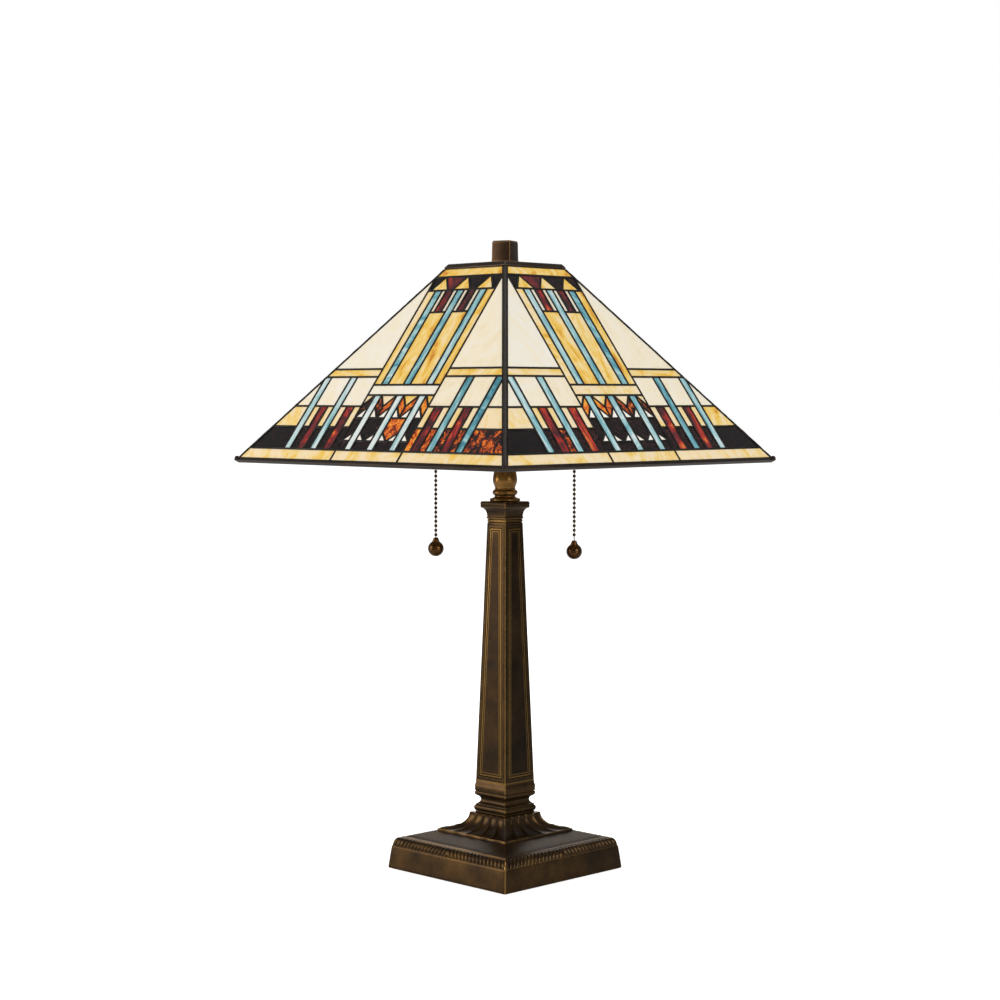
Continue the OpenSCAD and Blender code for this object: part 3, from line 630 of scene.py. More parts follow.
def mark_rub_and_shading(mesh: bpy.types.Mesh, gain: float) -> None:
    """Stores as a number on each point how far it stands out (1) or lies in a hollow (-1); it
    drives rubbing, patina, painted highlight and painted shade.

    Args:
        mesh: The finished mesh. Rubbing and painted highlight already on its corners are added.
        gain: How strongly the shape counts.
    """
    total = [0.0] * len(mesh.vertices)
    count = [0] * len(mesh.vertices)
    for edge in mesh.edges:
        for here, there in (edge.vertices, reversed(edge.vertices)):
            a, b = mesh.vertices[here], mesh.vertices[there]
            away = b.co - a.co
            if away.length > TINY:
                total[here] -= away.normalized().dot(a.normal)
                count[here] += 1
    layer = mesh.attributes.new("worn", "FLOAT", "POINT")
    corner = mesh.attributes.get("corner")
    extra = [entry.value for entry in corner.data] if corner else [0.0] * len(total)
    worn = [max(-1.0, min(1.0, gain * t / max(c, 1) + e)) for t, c, e in zip(total, count, extra)]
    layer.data.foreach_set("value", worn)


def as_piece(
    bm: bmesh.types.BMesh,
    name: str,
    body: str,
    finish: Finish,
    slot: str,
    replaces: Sequence[str] = (),
    sharp: float = 35.0,
    rub_and_shading_gain: float = 0.0,
) -> bpy.types.Object:
    """Turns a finished bmesh, in millimetres, into a piece of the lamp.

    Args:
        bm: The shape. It is freed.
        name: The piece's name.
        body: The body that it moves with.
        finish: Its finish.
        slot: The record's material slot. Not used.
        replaces: Nodes that it stands for.
        sharp: Edges steeper than this angle in degrees stay crisp.
        rub_and_shading_gain: Strength of the rubbing, painted highlight and painted shade worked
            out from the shape, or 0 for none.

    Returns:
        The new object.
    """
    bmesh.ops.transform(bm, matrix=Matrix.Scale(MM, 4), verts=bm.verts)
    mesh = bpy.data.meshes.new(name)
    bm.to_mesh(mesh)
    bm.free()
    mesh.polygons.foreach_set("use_smooth", [True] * len(mesh.polygons))
    mesh.set_sharp_from_angle(angle=math.radians(sharp))
    if rub_and_shading_gain:
        mark_rub_and_shading(mesh, rub_and_shading_gain)
    piece = bpy.data.objects.new(name, mesh)
    bpy.context.scene.collection.objects.link(piece)
    piece.data.materials.append(finish.material())
    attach(piece, body)
    if replaces:
        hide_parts(*replaces)
    log.info("%s: %d faces on %s", name, len(mesh.polygons), body)
    return piece


def merged_copy(node: bpy.types.Object, flat: float = 0.5) -> bmesh.types.BMesh:
    """Copies a node's mesh and merges its doubles.

    Args:
        node: One of the frame's nodes. It stays as it is.
        flat: Triangles within this angle in degrees become one face. 0 keeps the triangles.

    Returns:
        The copy, in millimetres.
    """
    bm = bmesh.new()
    bm.from_mesh(node.data)
    bmesh.ops.transform(bm, matrix=Matrix.Scale(1 / MM, 4), verts=bm.verts)
    bmesh.ops.remove_doubles(bm, verts=bm.verts, dist=MERGE_MM)
    if flat:
        angle = math.radians(flat)
        bmesh.ops.dissolve_limit(bm, angle_limit=angle, verts=bm.verts, edges=bm.edges)
    return bm


def ease_edges(
    bm: bmesh.types.BMesh,
    width: float,
    segments: int,
    steep: float = 25.0,
    where: Callable[[bmesh.types.BMEdge], bool] | None = None,
) -> None:
    """Rounds the convex edges that are steeper than an angle, and marks the new faces for rubbing
    and a painted highlight.

    Args:
        bm: The shape.
        width: Width of the rounding.
        segments: Faces across it.
        steep: Least angle in degrees.
        where: Test that an edge has to pass too.
    """
    layer = bm.faces.layers.float.get("worn") or bm.faces.layers.float.new("worn")
    edges = [
        e
        for e in bm.edges
        if e.is_manifold
        and e.calc_face_angle_signed(0.0) > math.radians(steep)
        and (where is None or where(e))
    ]
    result = bmesh.ops.bevel(
        bm,
        geom=edges,
        offset=width,
        segments=segments,
        profile=0.5,
        affect="EDGES",
        material=-1,
        clamp_overlap=True,
    )
    for face in result["faces"]:
        # Rounded edges are marked for rubbing and a painted highlight.
        face[layer] = EASED_WEAR_AND_HIGHLIGHT


def clear_of(radius: float) -> Callable[[bmesh.types.BMEdge], bool]:
    """A test that both ends of an edge lie farther than a radius from the lamp's axis."""
    return lambda edge: all(vert.co.xy.length > radius for vert in edge.verts)


def turned(outline: Sequence[Point], steps: int, centre: Point = (0, 0)) -> bmesh.types.BMesh:
    """Spins an outline about a vertical axis.

    Args:
        outline: Radius and height of each point.
        steps: Faces round the axis.
        centre: Where the axis stands.

    Returns:
        The closed shape.
    """
    bm = bmesh.new()
    verts = [bm.verts.new((r, 0, z)) for r, z in outline]
    geom = verts + [bm.edges.new(pair) for pair in zip(verts, verts[1:])]
    middle, up, whole = (0, 0, 0), (0, 0, 1), 2 * math.pi
    bmesh.ops.spin(bm, geom=geom, cent=middle, axis=up, angle=whole, steps=steps, use_merge=True)
    bmesh.ops.remove_doubles(bm, verts=bm.verts, dist=SEAM_MM)
    bmesh.ops.recalc_face_normals(bm, faces=bm.faces)
    bmesh.ops.translate(bm, verts=bm.verts, vec=(*centre, 0))
    return bm


def spread(start: float, end: float, count: int) -> list[float]:
    """Evenly spaced numbers from start to end, both ends among them."""
    return [start + (end - start) * i / (count - 1) for i in range(count)]


def arc_points(
    centre: Point, radii: Point, start: float, end: float, count: int
) -> list[Point]:
    """Points on an ellipse's arc.

    Args:
        centre: The ellipse's centre.
        radii: Half its width and half its height.
        start: Angle of the first point, in degrees.
        end: Angle of the last point, in degrees.
        count: How many points there are.

    Returns:
        The points in order.
    """
    (x, y), (wide, high) = centre, radii
    angles = [math.radians(a) for a in spread(start, end, count)]
    return [(x + wide * math.cos(a), y + high * math.sin(a)) for a in angles]


def with_corner(points: Iterable[Point], corner: float) -> list[Ring]:
    """Rings of a square loft from half sides and heights, with one corner radius."""
    return [(half, z, corner) for half, z in points]


@dataclass(frozen=True)
class SquareLoft:
    """A square shape swept round four sides, with rounded corners and relief on its faces.

    rings are (half side, height, corner radius) from the foot up. columns are places along a side's
    straight part, from -1 to 1. A corner wider than blunt gets no rubbing or painted highlight.
    """

    rings: tuple[Ring, ...]
    columns: tuple[float, ...] = (-1.0, 1.0)
    corner_steps: int = 3
    edge_wear_and_highlight: float = 0.5
    blunt: float = 3.0

    def _spot(self, ring: Ring, column: int) -> Point:
        """Finds a place on the front side of a ring, before any relief.

        Args:
            ring: The ring.
            column: Which of the places along the side, the corners' steps among them.

        Returns:
            The place, seen from above.
        """
        half, _, corner = ring
        steps, last = self.corner_steps, len(self.columns) + 2 * self.corner_steps - 1
        flat = half - corner
        if column < steps or column > last - steps:
            side = -1 if column < steps else 1
            step = steps - column if side < 0 else column - (last - steps)
            turn = step / steps * math.pi / 4
            return side * (flat + corner * math.sin(turn)), -(flat + corner * math.cos(turn))
        return flat * self.columns[column - steps], -half

    def _outward(self, row: int) -> Vector:
        """Finds the direction in which the profile faces.

        Args:
            row: Number of the ring.

        Returns:
            The direction, as (out, up).
        """
        low, high = self.rings[max(row - 1, 0)], self.rings[min(row + 1, len(self.rings) - 1)]
        normal = Vector((high[1] - low[1], low[0] - high[0]))
        return normal.normalized() if normal.length > 1e-6 else Vector((1.0, 0.0))

    def build(self, relief: Relief | None = None) -> bmesh.types.BMesh:
        """Makes the shape.

        Args:
            relief: Gives how far a point stands out, from its row, its place from -1 to 1
                between the corners and its distance in millimetres from the middle of the side.

        Returns:
            The closed shape, in millimetres.
        """
        across, up = len(self.columns) + 2 * self.corner_steps, len(self.rings)
        arris = (0, 1, across - 2, across - 1)
        bm = bmesh.new()
        bmesh.ops.create_grid(bm, x_segments=across - 1, y_segments=up - 1, size=1)
        corner = bm.verts.layers.float.new("corner")
        for vert in bm.verts:
            column = round((vert.co.x + 1) / 2 * (across - 1))
            row = round((vert.co.y + 1) / 2 * (up - 1))
            ring = self.rings[row]
            x, y = self._spot(ring, column)
            vert.co = Vector((x, y, ring[1]))
            # Arrises get rubbing and a painted highlight.
            vert[corner] = self.edge_wear_and_highlight if column in arris and ring[2] < self.blunt else 0.0
            if relief and ring[0] > 0:
                out = self._outward(row)
                rise = relief(row, x / ring[0], x)
                vert.co += Vector((x / ring[0] * out.x * rise, -out.x * rise, out.y * rise))
        front = list(bm.faces)
        for quarter in (1, 2, 3):
            copy = bmesh.ops.duplicate(bm, geom=front)
            moved = [v for v in copy["geom"] if isinstance(v, bmesh.types.BMVert)]
            turn = Matrix.Rotation(quarter * math.pi / 2, 3, "Z")
            bmesh.ops.rotate(bm, verts=moved, matrix=turn)
        bmesh.ops.remove_doubles(bm, verts=bm.verts, dist=LOFT_MERGE_MM)
        bmesh.ops.dissolve_degenerate(bm, edges=bm.edges, dist=SEAM_MM)
        bmesh.ops.recalc_face_normals(bm, faces=bm.faces)
        return bm


# ---------------------------------------------------------------- base and column


@dataclass(frozen=True)
class Base:
    """Cast square base: plinth, leaf moulding, sloping top and fluted flare."""

    bottom: float = 1.5
    half: float = 78.5
    plinth_half: float = 76.2
    plinth_top: float = 23.1
    plinth_rise: float = 16.5
    plinth_lean: float = 1.8
    moulding_in: float = 5.5
    moulding_rise: float = 7.7
    moulding_top: float = 30.4
    bead: tuple[Point, ...] = ((69.6, 29.9), (69.2, 29.9), (68.9, 30.8), (68.3, 30.9), (68.0, 30.3))
    fillet: tuple[Point, ...] = ((67.7, 30.3), (67.4, 31.2), (66.6, 31.4), (66.2, 31.2))
    roof_half: float = 67.4
    roof_start: float = 66.0
    roof_rise: float = 6.2
    flare_half: float = 43.85
    flare_z: float = 38.6
    neck_half: float = 22.9
    top: float = 55.1
    wall: float = 3.0
    bore: float = 5.1
    bore_depth: float = 11.0
    leaf: float = 4.7
    leaf_height: float = 1.5
    petals: int = 5
    moulding_rows: int = 13
    flare_rows: int = 24
    columns: int = 187
    outlet_r: float = 5.45
    outlet_depth: float = 30.0
    felt_columns: int = 120
    fuzz: float = 0.18

    def _rings(self) -> tuple[list[Ring], range, range]:
        """Works out the casting's section all round, from the foot up and back inside.

        Returns:
            The rings, and which rows are the moulding's and the flare's.
        """
        under, lean, rise = self.half - self.wall - 3, self.plinth_lean, self.plinth_rise
        rings = [(under, self.bottom, 1.0), (self.half - 1.2, self.bottom, 1.6)]
        rings += [(self.half - 0.3, 1.9, 2.0), (self.half, 3.0, 2.2), (self.half - 0.2, 4.4, 2.2)]
        rings += [(self.half - 0.2 - lean * i / 3, 4.4 + rise * i / 3, 2.2) for i in (1, 2)]
        rings += [(self.plinth_half + 0.1, 21.3, 2.2), (self.plinth_half - 0.1, 22.5, 2.0)]
        rings += [(self.plinth_half - 0.7, self.plinth_top, 1.6)]
        rings += [(self.plinth_half - 1.0, 22.6, 1.5)]
        first = len(rings)
        start, low = self.plinth_half - 0.6, self.plinth_top - 0.4
        for i in range(self.moulding_rows):
            turn = math.pi / 2 * i / (self.moulding_rows - 1)
            back, up = self.moulding_in * (1 - math.cos(turn)), self.moulding_rise * math.sin(turn)
            rings.append((start - back, low + up, 2.4))
        moulding = range(first, len(rings))
        rings += with_corner(self.bead, 0.9) + with_corner(self.fillet, 0.7)
        crown, inward = self.moulding_top, self.roof_start - (self.flare_half + 1.6)
        for i in range(5):
            out, up = self.roof_start - inward * i / 4, crown + 0.9 + self.roof_rise * i / 4
            rings.append((out, up, 0.6))
        first = len(rings)
        centre = (self.flare_half + 0.9, self.top - 0.6)
        radii = (self.flare_half + 0.9 - self.neck_half - 0.5, self.top - self.flare_z - 0.8)
        rings += with_corner(arc_points(centre, radii, 270, 180, self.flare_rows), 0.5)
        flare = range(first, len(rings))
        hole, floor = self.bore - 0.01, self.top - self.bore_depth
        rings += [(self.neck_half + 0.3, self.top, 0.5), (self.neck_half - 0.6, self.top, 0.5)]
        rings += [(self.bore, self.top, hole), (self.bore, floor, hole)]
        rings += [(self.neck_half - 2, floor, 1), (self.flare_half - 3, self.flare_z - 4.5, 1)]
        rings += [(self.roof_half - 3, crown - 3, 1)]
        rings += [(self.plinth_half - 3, self.plinth_top - 1, 1)]
        rings += [(self.half - 3, 3.5, 1), (under, 3.5, 1), rings[0]]
        return rings, moulding, flare

    def _leaf(self, row: float, x: float) -> float:
        """Shapes the slanting leaves of the moulding.

        Args:
            row: Share of the moulding's way up.
            x: Distance along the side from its middle.

        Returns:
            How far the leaf stands out.
        """
        along = (abs(x) / self.leaf + 0.8 * row) % 1.0
        lobe = math.sin(math.pi * along) ** 0.7
        vein = 0.25 * math.exp(-(((along - 0.5) / 0.09) ** 2))
        taper = math.sin(math.pi * min(1.0, 0.12 + 0.88 * row)) ** 0.5 if row < 1 else 0.0
        return (self.leaf_height * lobe - 0.8 - vein) * taper

    def _petal(self, row: float, along: float) -> float:
        """Shapes the flutes of the flare, with a rib between two and a lip at their foot.

        Args:
            row: Share of the flare's way up.
            along: Place along the side, from -1 to 1.

        Returns:
            How far the surface stands out.
        """
        share = ((along + 1) / 2 * self.petals) % 1.0
        hollow = math.sin(math.pi * share) ** 0.75
        rib = math.exp(-((min(share, 1 - share) / 0.07) ** 2))
        depth = 0.85 * math.sin(math.pi * min(1.0, 0.25 + 0.62 * row)) + 0.15
        lip = 0.9 * hollow * math.exp(-((row / 0.05) ** 2)) if row < 0.15 else 0.0
        return rib * 0.45 - depth * hollow * (row > 0.02) + lip

    def build(self) -> None:
        """Makes the casting and its felt."""
        rings, moulding, flare = self._rings()

        def relief(row: int, along: float, x: float) -> float:
            """Finds the relief on the moulding and on the flare.

            Args:
                row: Number of the ring.
                along: Place along the side, from -1 to 1.
                x: Distance along the side from its middle.

            Returns:
                How far the surface stands out.
            """
            if row in moulding:
                return self._leaf((row - moulding.start) / (len(moulding) - 1), x)
            if row in flare:
                return self._petal((row - flare.start) / (len(flare) - 1), along)
            return 0.0

        bm = SquareLoft(tuple(rings), tuple(spread(-1, 1, self.columns)), 4).build(relief)
        piece = as_piece(bm, "base", "stand", Finish.BRONZE, "bronze", ["base_casting"], 50, 0.75)
        self._cut_outlet(piece)
        self._felt()

    def _cut_outlet(self, piece: bpy.types.Object) -> None:
        """Cuts the seat of the cord bushing through the back wall.

        Args:
            piece: The casting.
        """
        low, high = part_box("cord_bushing")
        turn = Matrix.Translation(((low + high) / 2).to_3d()) @ Matrix.Rotation(math.pi / 2, 4, "X")
        radius, depth = self.outlet_r * MM, self.outlet_depth * MM
        bm = bmesh.new()
        bmesh.ops.create_cone(
            bm, cap_ends=True, segments=48, radius1=radius, radius2=radius, depth=depth, matrix=turn
        )
        mesh = bpy.data.meshes.new("outlet")
        bm.to_mesh(mesh)
        bm.free()
        cutter = bpy.data.objects.new("outlet", mesh)
        bpy.context.scene.collection.objects.link(cutter)
        cut = piece.modifiers.new("outlet", "BOOLEAN")
        cut.object, cut.operation, cut.solver = cutter, "DIFFERENCE", "EXACT"
        depsgraph = bpy.context.evaluated_depsgraph_get()
        solid = piece.evaluated_get(depsgraph)
        made = bpy.data.meshes.new_from_object(solid, depsgraph=depsgraph)
        piece.modifiers.clear()
        piece.data = made
        bpy.data.objects.remove(cutter)

    def _felt(self) -> None:
        """Makes the felt under the base: a thin pad with a soft, slightly uneven edge."""
        low, high = (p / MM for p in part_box("felt_pad"))
        half = high.x
        rings = [(0.0, low.z, 0.0), (half * 0.5, low.z, 4), (half - 0.6, low.z, 1.5)]
        edge = [(half, low.z + 0.35, 2.0), (half, high.z - 0.3, 2.0)]
        above = [(half - 0.3, high.z, 1.7), (half * 0.5, high.z, 4), (0.0, high.z, 0.0)]

        def uneven(row: int, along: float, x: float) -> float:
            """Unevenness of the cut edge."""
            wander = 1 + noise.noise((x * 0.9, row * 3.1, half * 0.2))
            return -self.fuzz * wander if 2 <= row <= 5 else 0.0

        columns = tuple(spread(-1, 1, self.felt_columns))
        bm = SquareLoft((*rings, *edge, *above), columns, 4).build(uneven)
        piece = as_piece(bm, "base_felt", "stand", Finish.FELT, "felt", ["felt_pad"], 60)


@dataclass(frozen=True)
class Column:
    """Square column: foot, tapering shaft with double-line panels, capital and turned neck."""

    foot_z: float = 55.1
    foot_top: float = 85.8
    shaft_low: float = 19.6
    shaft_high: float = 11.9
    shaft_top: float = 331.8
    wall: float = 3.0
    bore: float = 5.1
    capital_top: float = 348.0
    neck_top: float = 391.5
    bored_columns: tuple[float, ...] = (-1.0, -0.96, -0.5, 0.0, 0.5, 0.96, 1.0)
    panel_area: float = 4000.0
    panel_out: float = 13.5
    panel_lines: tuple[Point, ...] = (
        (3.0, 0.0), (0.35, -0.55), (0.45, 0.0), (0.35, 0.55), (1.3, 0.0),
        (0.3, -0.4), (0.4, 0.0), (0.3, 0.4), (1.2, 0.0),
    )
    vase: tuple[Point, ...] = (
        (10.3, 15.2), (10.9, 16.6), (11.3, 18.2), (11.45, 19.8), (11.4, 21.6), (11.1, 24),
        (10.7, 26.4), (10.2, 29), (9.8, 31.5), (9.5, 34), (9.35, 36.2), (9.5, 38),
    )

    def build(self) -> None:
        """Makes the four pieces."""
        self._foot()
        self._shaft()
        self._capital()
        self._neck()

    def _bored(self, rings: list[Ring], low: float, high: float) -> SquareLoft:
        """Closes a section round the pipe's bore.

        Args:
            rings: The outside, from the foot up.
            low: Height of the foot.
            high: Height of the top.

        Returns:
            A solid square loft with the bore through it.
        """
        hole = self.bore - 0.01
        inside = [(self.bore, high, hole), (self.bore, low, hole)]
        return SquareLoft(((self.bore, low, hole), *rings, *inside), self.bored_columns, 4)

    def _foot(self) -> None:
        """Makes the torus, scotia, flange and the band under the shaft."""
        z = self.foot_z
        torus = [(19.6, z, 0.8), (20.0, z + 0.6, 0.9)]
        torus += with_corner(arc_points((18.6, z + 4.2), (2.5, 3.1), -68, 68, 11), 1.4)
        scotia = [(19.7, z + 7.6, 0.9), (19.5, z + 8.1, 0.8)]
        scotia += with_corner(arc_points((20.2, z + 12.0), (3.9, 3.9), 262, 118, 13), 0.8)
        flange = [(18.9, z + 15.6, 0.8), (19.9, z + 16.4, 1.0), (20.3, z + 17.0, 1.1)]
        flange += [(20.5, z + 17.8, 1.1), (20.5, z + 19.2, 1.1), (20.3, z + 19.5, 1.0)]
        band = [(19.7, z + 19.8, 0.9), (19.7, z + 20.3, 0.9), (20.3, z + 20.6, 1.0)]
        band += [(20.4, z + 21.0, 1.1), (20.4, z + 25.9, 1.1), (20.1, z + 26.5, 1.0)]
        seat = [(20.1, z + 26.9, 1.0), (19.8, z + 27.3, 1.0), (self.shaft_low, self.foot_top, 0.8)]
        bm = self._bored(torus + scotia + flange + band + seat, z, self.foot_top).build()
        as_piece(bm, "foot", "stand", Finish.BRONZE, "bronze", ["column_foot"], 40, 1.0)

    def _half_at(self, z: float) -> float:
        """Half the shaft's side at a height."""
        share = (z - self.foot_top) / (self.shaft_top - self.foot_top)
        return self.shaft_low + (self.shaft_high - self.shaft_low) * share

    def _shaft(self) -> None:
        """Makes the shaft: two grooves under the capital, a double line sunk round each face."""
        low, high = self.foot_top, self.shaft_top
        dips = [(low, 0.0), (low + 0.8, 0.0), (high - 5.0, 0.0), (high - 3.9, 0.0)]
        dips += [(high - 3.5, 0.5), (high - 3.0, 0.5), (high - 2.6, 0.0), (high - 0.9, 0.0)]
        dips += [(high - 0.4, 0.4), (high, 0.4)]
        rings = [(self._half_at(z) - dip, z, 1.1) for z, dip in dips]
        rings += [(self.shaft_high - self.wall, high, 0.5), (self.shaft_low - self.wall, low, 0.5)]
        bm = SquareLoft((*rings, rings[0]), (-1.0, 1.0), 3).build()
        faces = [
            f
            for f in bm.faces
            if f.calc_area() > self.panel_area
            and f.calc_center_median().xy.length > self.panel_out
        ]
        for border, depth in self.panel_lines:
            bmesh.ops.inset_individual(
                bm, faces=faces, thickness=border, depth=depth, use_even_offset=True
            )
        as_piece(bm, "shaft", "stand", Finish.COLUMN, "bronze", ["column_shaft"], 30, 1.3)

    def _capital(self) -> None:
        """Makes the hollow-sided capital and its slab."""
        z, top = self.shaft_top, self.capital_top
        astragal = [(12.2, z, 0.6), (12.4, z + 0.3, 0.7)]
        astragal += [(12.4, z + 1.1, 0.7), (12.1, z + 1.5, 0.6)]
        hollow = with_corner(arc_points((16.1, z + 2.0), (4.1, 8.2), 180, 98, 14), 0.7)
        slab = [(16.2, z + 10.4, 0.8), (16.5, z + 10.9, 1.0)]
        slab += with_corner(arc_points((15.6, top - 2.0), (1.1, 2.0), -30, 90, 8), 1.3)
        bm = self._bored(astragal + hollow + slab, z, top).build()
        as_piece(bm, "capital_cap", "stand", Finish.BRONZE, "bronze", ["capital"], 40, 1.5)

    def _neck(self) -> None:
        """Makes the turned neck: flange, bead, vase and collar."""
        z, top, bore = self.capital_top, self.neck_top, self.bore
        flange = [(bore, z), (13.4, z), *arc_points((13.4, z + 1.5), (0.95, 1.5), -80, 80, 9)]
        flange += [(13.0, z + 3.0), (12.2, z + 3.2), (10.4, z + 3.8), (9.8, z + 4.4)]
        bead = [(9.7, z + 5.2), (10.0, z + 5.8)]
        bead += arc_points((9.9, z + 8.3), (1.9, 2.4), -80, 80, 13)
        bead += [(9.8, z + 11.1), (9.5, z + 12.0), (9.5, z + 12.9)]
        bead += [(9.8, z + 13.5), (9.8, z + 14.0)]
        vase = [(r, z + h) for r, h in self.vase]
        collar = [(9.9, z + 38.8), (11.4, top - 4.1), (12.0, top - 3.3), (12.0, top)]
        bm = turned([*flange, *bead, *vase, *collar, (bore, top), (bore, z)], 96)
        as_piece(bm, "neck", "stand", Finish.NECK, "bronze", ["turned_neck"], 40, 1.5)


# ---------------------------------------------------------------- shade


class Pane(Enum):
    """Each kind of glass: its node, its finish, and how deep its colour usually is."""

    CREAM = ("cream_glass", Finish.CREAM, 0.3)
    AMBER = ("amber_glass", Finish.AMBER, 0.35)
    TURQUOISE = ("turquoise_glass", Finish.TURQUOISE, 0.55)
    RUBY = ("ruby_glass", Finish.RUBY, 0.45)
    EMBER = ("ember_glass", Finish.EMBER, 0.6)
    ONYX = ("onyx_glass", Finish.ONYX, 0.25)
    WHITE = ("white_glass", Finish.WHITE, 0.3)

    def __init__(self, node: str, finish: Finish, tone: float) -> None:
        """Names the values.

        Args:
            node: The node that holds these panes.
            finish: The glass.
            tone: The usual depth of colour, from 0 to 1.
        """
        self.node = node
        self.finish = finish
        self.tone = tone


@dataclass(frozen=True)
class Spot:
    """Where a pane is.

    face is 0 for the front, 1 right, 2 back and 3 left. u is the middle's distance along the
    face from its centre line, v its distance up the face from the rim.
    """

    face: int
    u: float
    v: float

    @property
    def even(self) -> bool:
        """Whether the face is the front or the back, whose glass was cut alike."""
        return self.face % 2 == 0


@dataclass(frozen=True)
class Shade:
    """Square pyramid of leaded glass, with its hip beads, rim channel and cap."""

    half: float = 178.0
    rim_z: float = 388.0
    slope: float = math.atan2(181, 141)
    came_t: float = 3.4
    band: float = 13.4
    amber_row: float = 62.5
    zigzag_top: float = 75.3
    cross_top: float = 87.0
    tall_row: float = 110.0
    top_row: float = 200.0
    panel: float = 44.25
    ember_low: float = 49.0
    far: float = 115.0
    vary: float = 0.18
    heat: tuple[Point, ...] = ((50.0, 1.3), (58.0, 1.15), (72.0, 0.8), (95.0, 0.62), (109.0, 0.58))
    seed_face: int = 7919
    seed_along: int = 104729
    lean: float = 0.35
    upright: float = 0.75
    sheet: float = 900.0
    sheet_depth: float = 90.0
    cushion: float = 1.5
    cushion_rise: Point = (0.12, 0.04)
    solder: tuple[Point, ...] = ((0.3, 0.2), (0.25, 0.09))
    hip_soft: float = 0.45
    hip_uneven: float = 0.3
    rim_soft: float = 0.35
    knob: float = 2.5
    cap_soft: float = 0.9
    cap_hole: float = 40.0

    def _frame(self, face: int) -> Matrix:
        """Finds how a face lies.

        Args:
            face: Number of the face.

        Returns:
            A matrix that turns (along, up, out) on the face into a place on the lamp, in mm.
        """
        edge = Matrix.Translation((0, -self.half, self.rim_z))
        turn = Matrix.Rotation(face * math.pi / 2, 4, "Z") @ edge
        return turn @ Matrix.Rotation(self.slope, 4, "X") @ Matrix.Translation((0, 0, -self.came_t))

    def _face_of(self, middle: Vector) -> int:
        """Which face a point belongs to."""
        return round((math.atan2(middle.y, middle.x) + math.pi / 2) / (math.pi / 2)) % 4

    def _outward(self, face: int) -> Vector:
        """The direction in which a face looks."""
        return self._frame(face).to_3x3() @ Vector((0, 0, 1))

    def build(self, nodes: Nodes) -> None:
        """Makes all the pieces of the shade.

        Args:
            nodes: The frame's nodes by name.
        """
        for kind in Pane:
            self._panes(kind, nodes[kind.node])
        for face, side in enumerate(("front", "right", "back", "left")):
            self._lattice(face, side, nodes[f"{side}_came"])
        self._hips(nodes["hip_cames"])
        self._rim(nodes["rim_frame"])
        self._cap(nodes["vase_cap"])

    def _tone(self, kind: Pane, spot: Spot, rng: random.Random) -> float:
        """Chooses how deep a pane's colour is, from where it sits in the pattern.

        Args:
            kind: The kind of glass.
            spot: Where the pane is.
            rng: The pane's own random numbers.

        Returns:
            The depth of colour.
        """
        u, v, even = spot.u, spot.v, spot.even
        tone = kind.tone + rng.uniform(-self.vary, self.vary)
        if kind is Pane.AMBER:
            tone = self._honey(spot, tone, rng)
        if kind is Pane.CREAM and self.zigzag_top < v < self.cross_top and abs(u) < 5:
            tone = 0.1
        if kind is Pane.TURQUOISE and even:
            tone = self._blue(spot, tone, rng)
        if kind is Pane.WHITE:
            tone = 0.12 if v < self.cross_top else rng.uniform(0.5, 0.85)
        if kind is Pane.RUBY:
            tone = rng.uniform(0.3, 0.75) if v < self.amber_row else 0.35
        if kind is Pane.EMBER:
            tone = self._fire(spot, rng)
        if kind is Pane.ONYX:
            tone = 0.5 if not even and 40 < abs(u) < 110 else rng.uniform(0.15, 0.4)
            tone = 0.12 if abs(u) > self.far else tone
        return tone

    def _honey(self, spot: Spot, tone: float, rng: random.Random) -> float:
        """Chooses how deep an amber pane is: palest at the rim, deepest under the cap.

        Args:
            spot: Where the pane is.
            tone: Its depth of colour if its row has none of its own.
            rng: The pane's own random numbers.

        Returns:
            The depth of colour.
        """
        u, v = spot.u, spot.v
        if v < self.band:
            return 0.16 + rng.uniform(-0.05, 0.05)
        if v < self.amber_row:
            return rng.uniform(0.02, 0.16) + 0.25 * (abs(u) > 118 and (u < 0) == spot.even)
        if v < self.cross_top and abs(u) < self.panel:
            return 0.12 + 0.3 * (u > 0 and spot.even)
        if v > self.top_row:
            return 0.5 + rng.uniform(-0.05, 0.1)
        if v > self.tall_row:
            return 0.42 + rng.uniform(-0.15, 0.12)
        return tone

    def _blue(self, spot: Spot, tone: float, rng: random.Random) -> float:
        """Chooses how deep a turquoise pane of the front or the back is.

        Args:
            spot: Where the pane is.
            tone: Its depth of colour if its place has none of its own.
            rng: The pane's own random numbers.

        Returns:
            The depth of colour.
        """
        if abs(spot.u) < self.panel and spot.v < self.zigzag_top:
            return 0.08 + rng.uniform(-0.04, 0.06)
        if spot.u < -self.panel:
            return 0.28
        if spot.u > self.panel:
            return 0.6 + 0.2 * (spot.u > 100)
        return tone

    def _fire(self, spot: Spot, rng: random.Random) -> float:
        """Chooses how much fire an ember pane shows.

        Args:
            spot: Where the pane is.
            rng: The pane's own random numbers.

        Returns:
            The depth of colour, which may pass 1 in the brightest panes.
        """
        u = abs(spot.u)
        if u < self.panel and spot.v > self.ember_low:
            along = spot.u / self.panel * (1 if spot.even else -1)
            return 0.85 + 0.55 * along + rng.uniform(-0.15, 0.15)
        if u < self.panel:
            return 0.85
        return next((heat for reach, heat in self.heat if u < reach), 0.5)

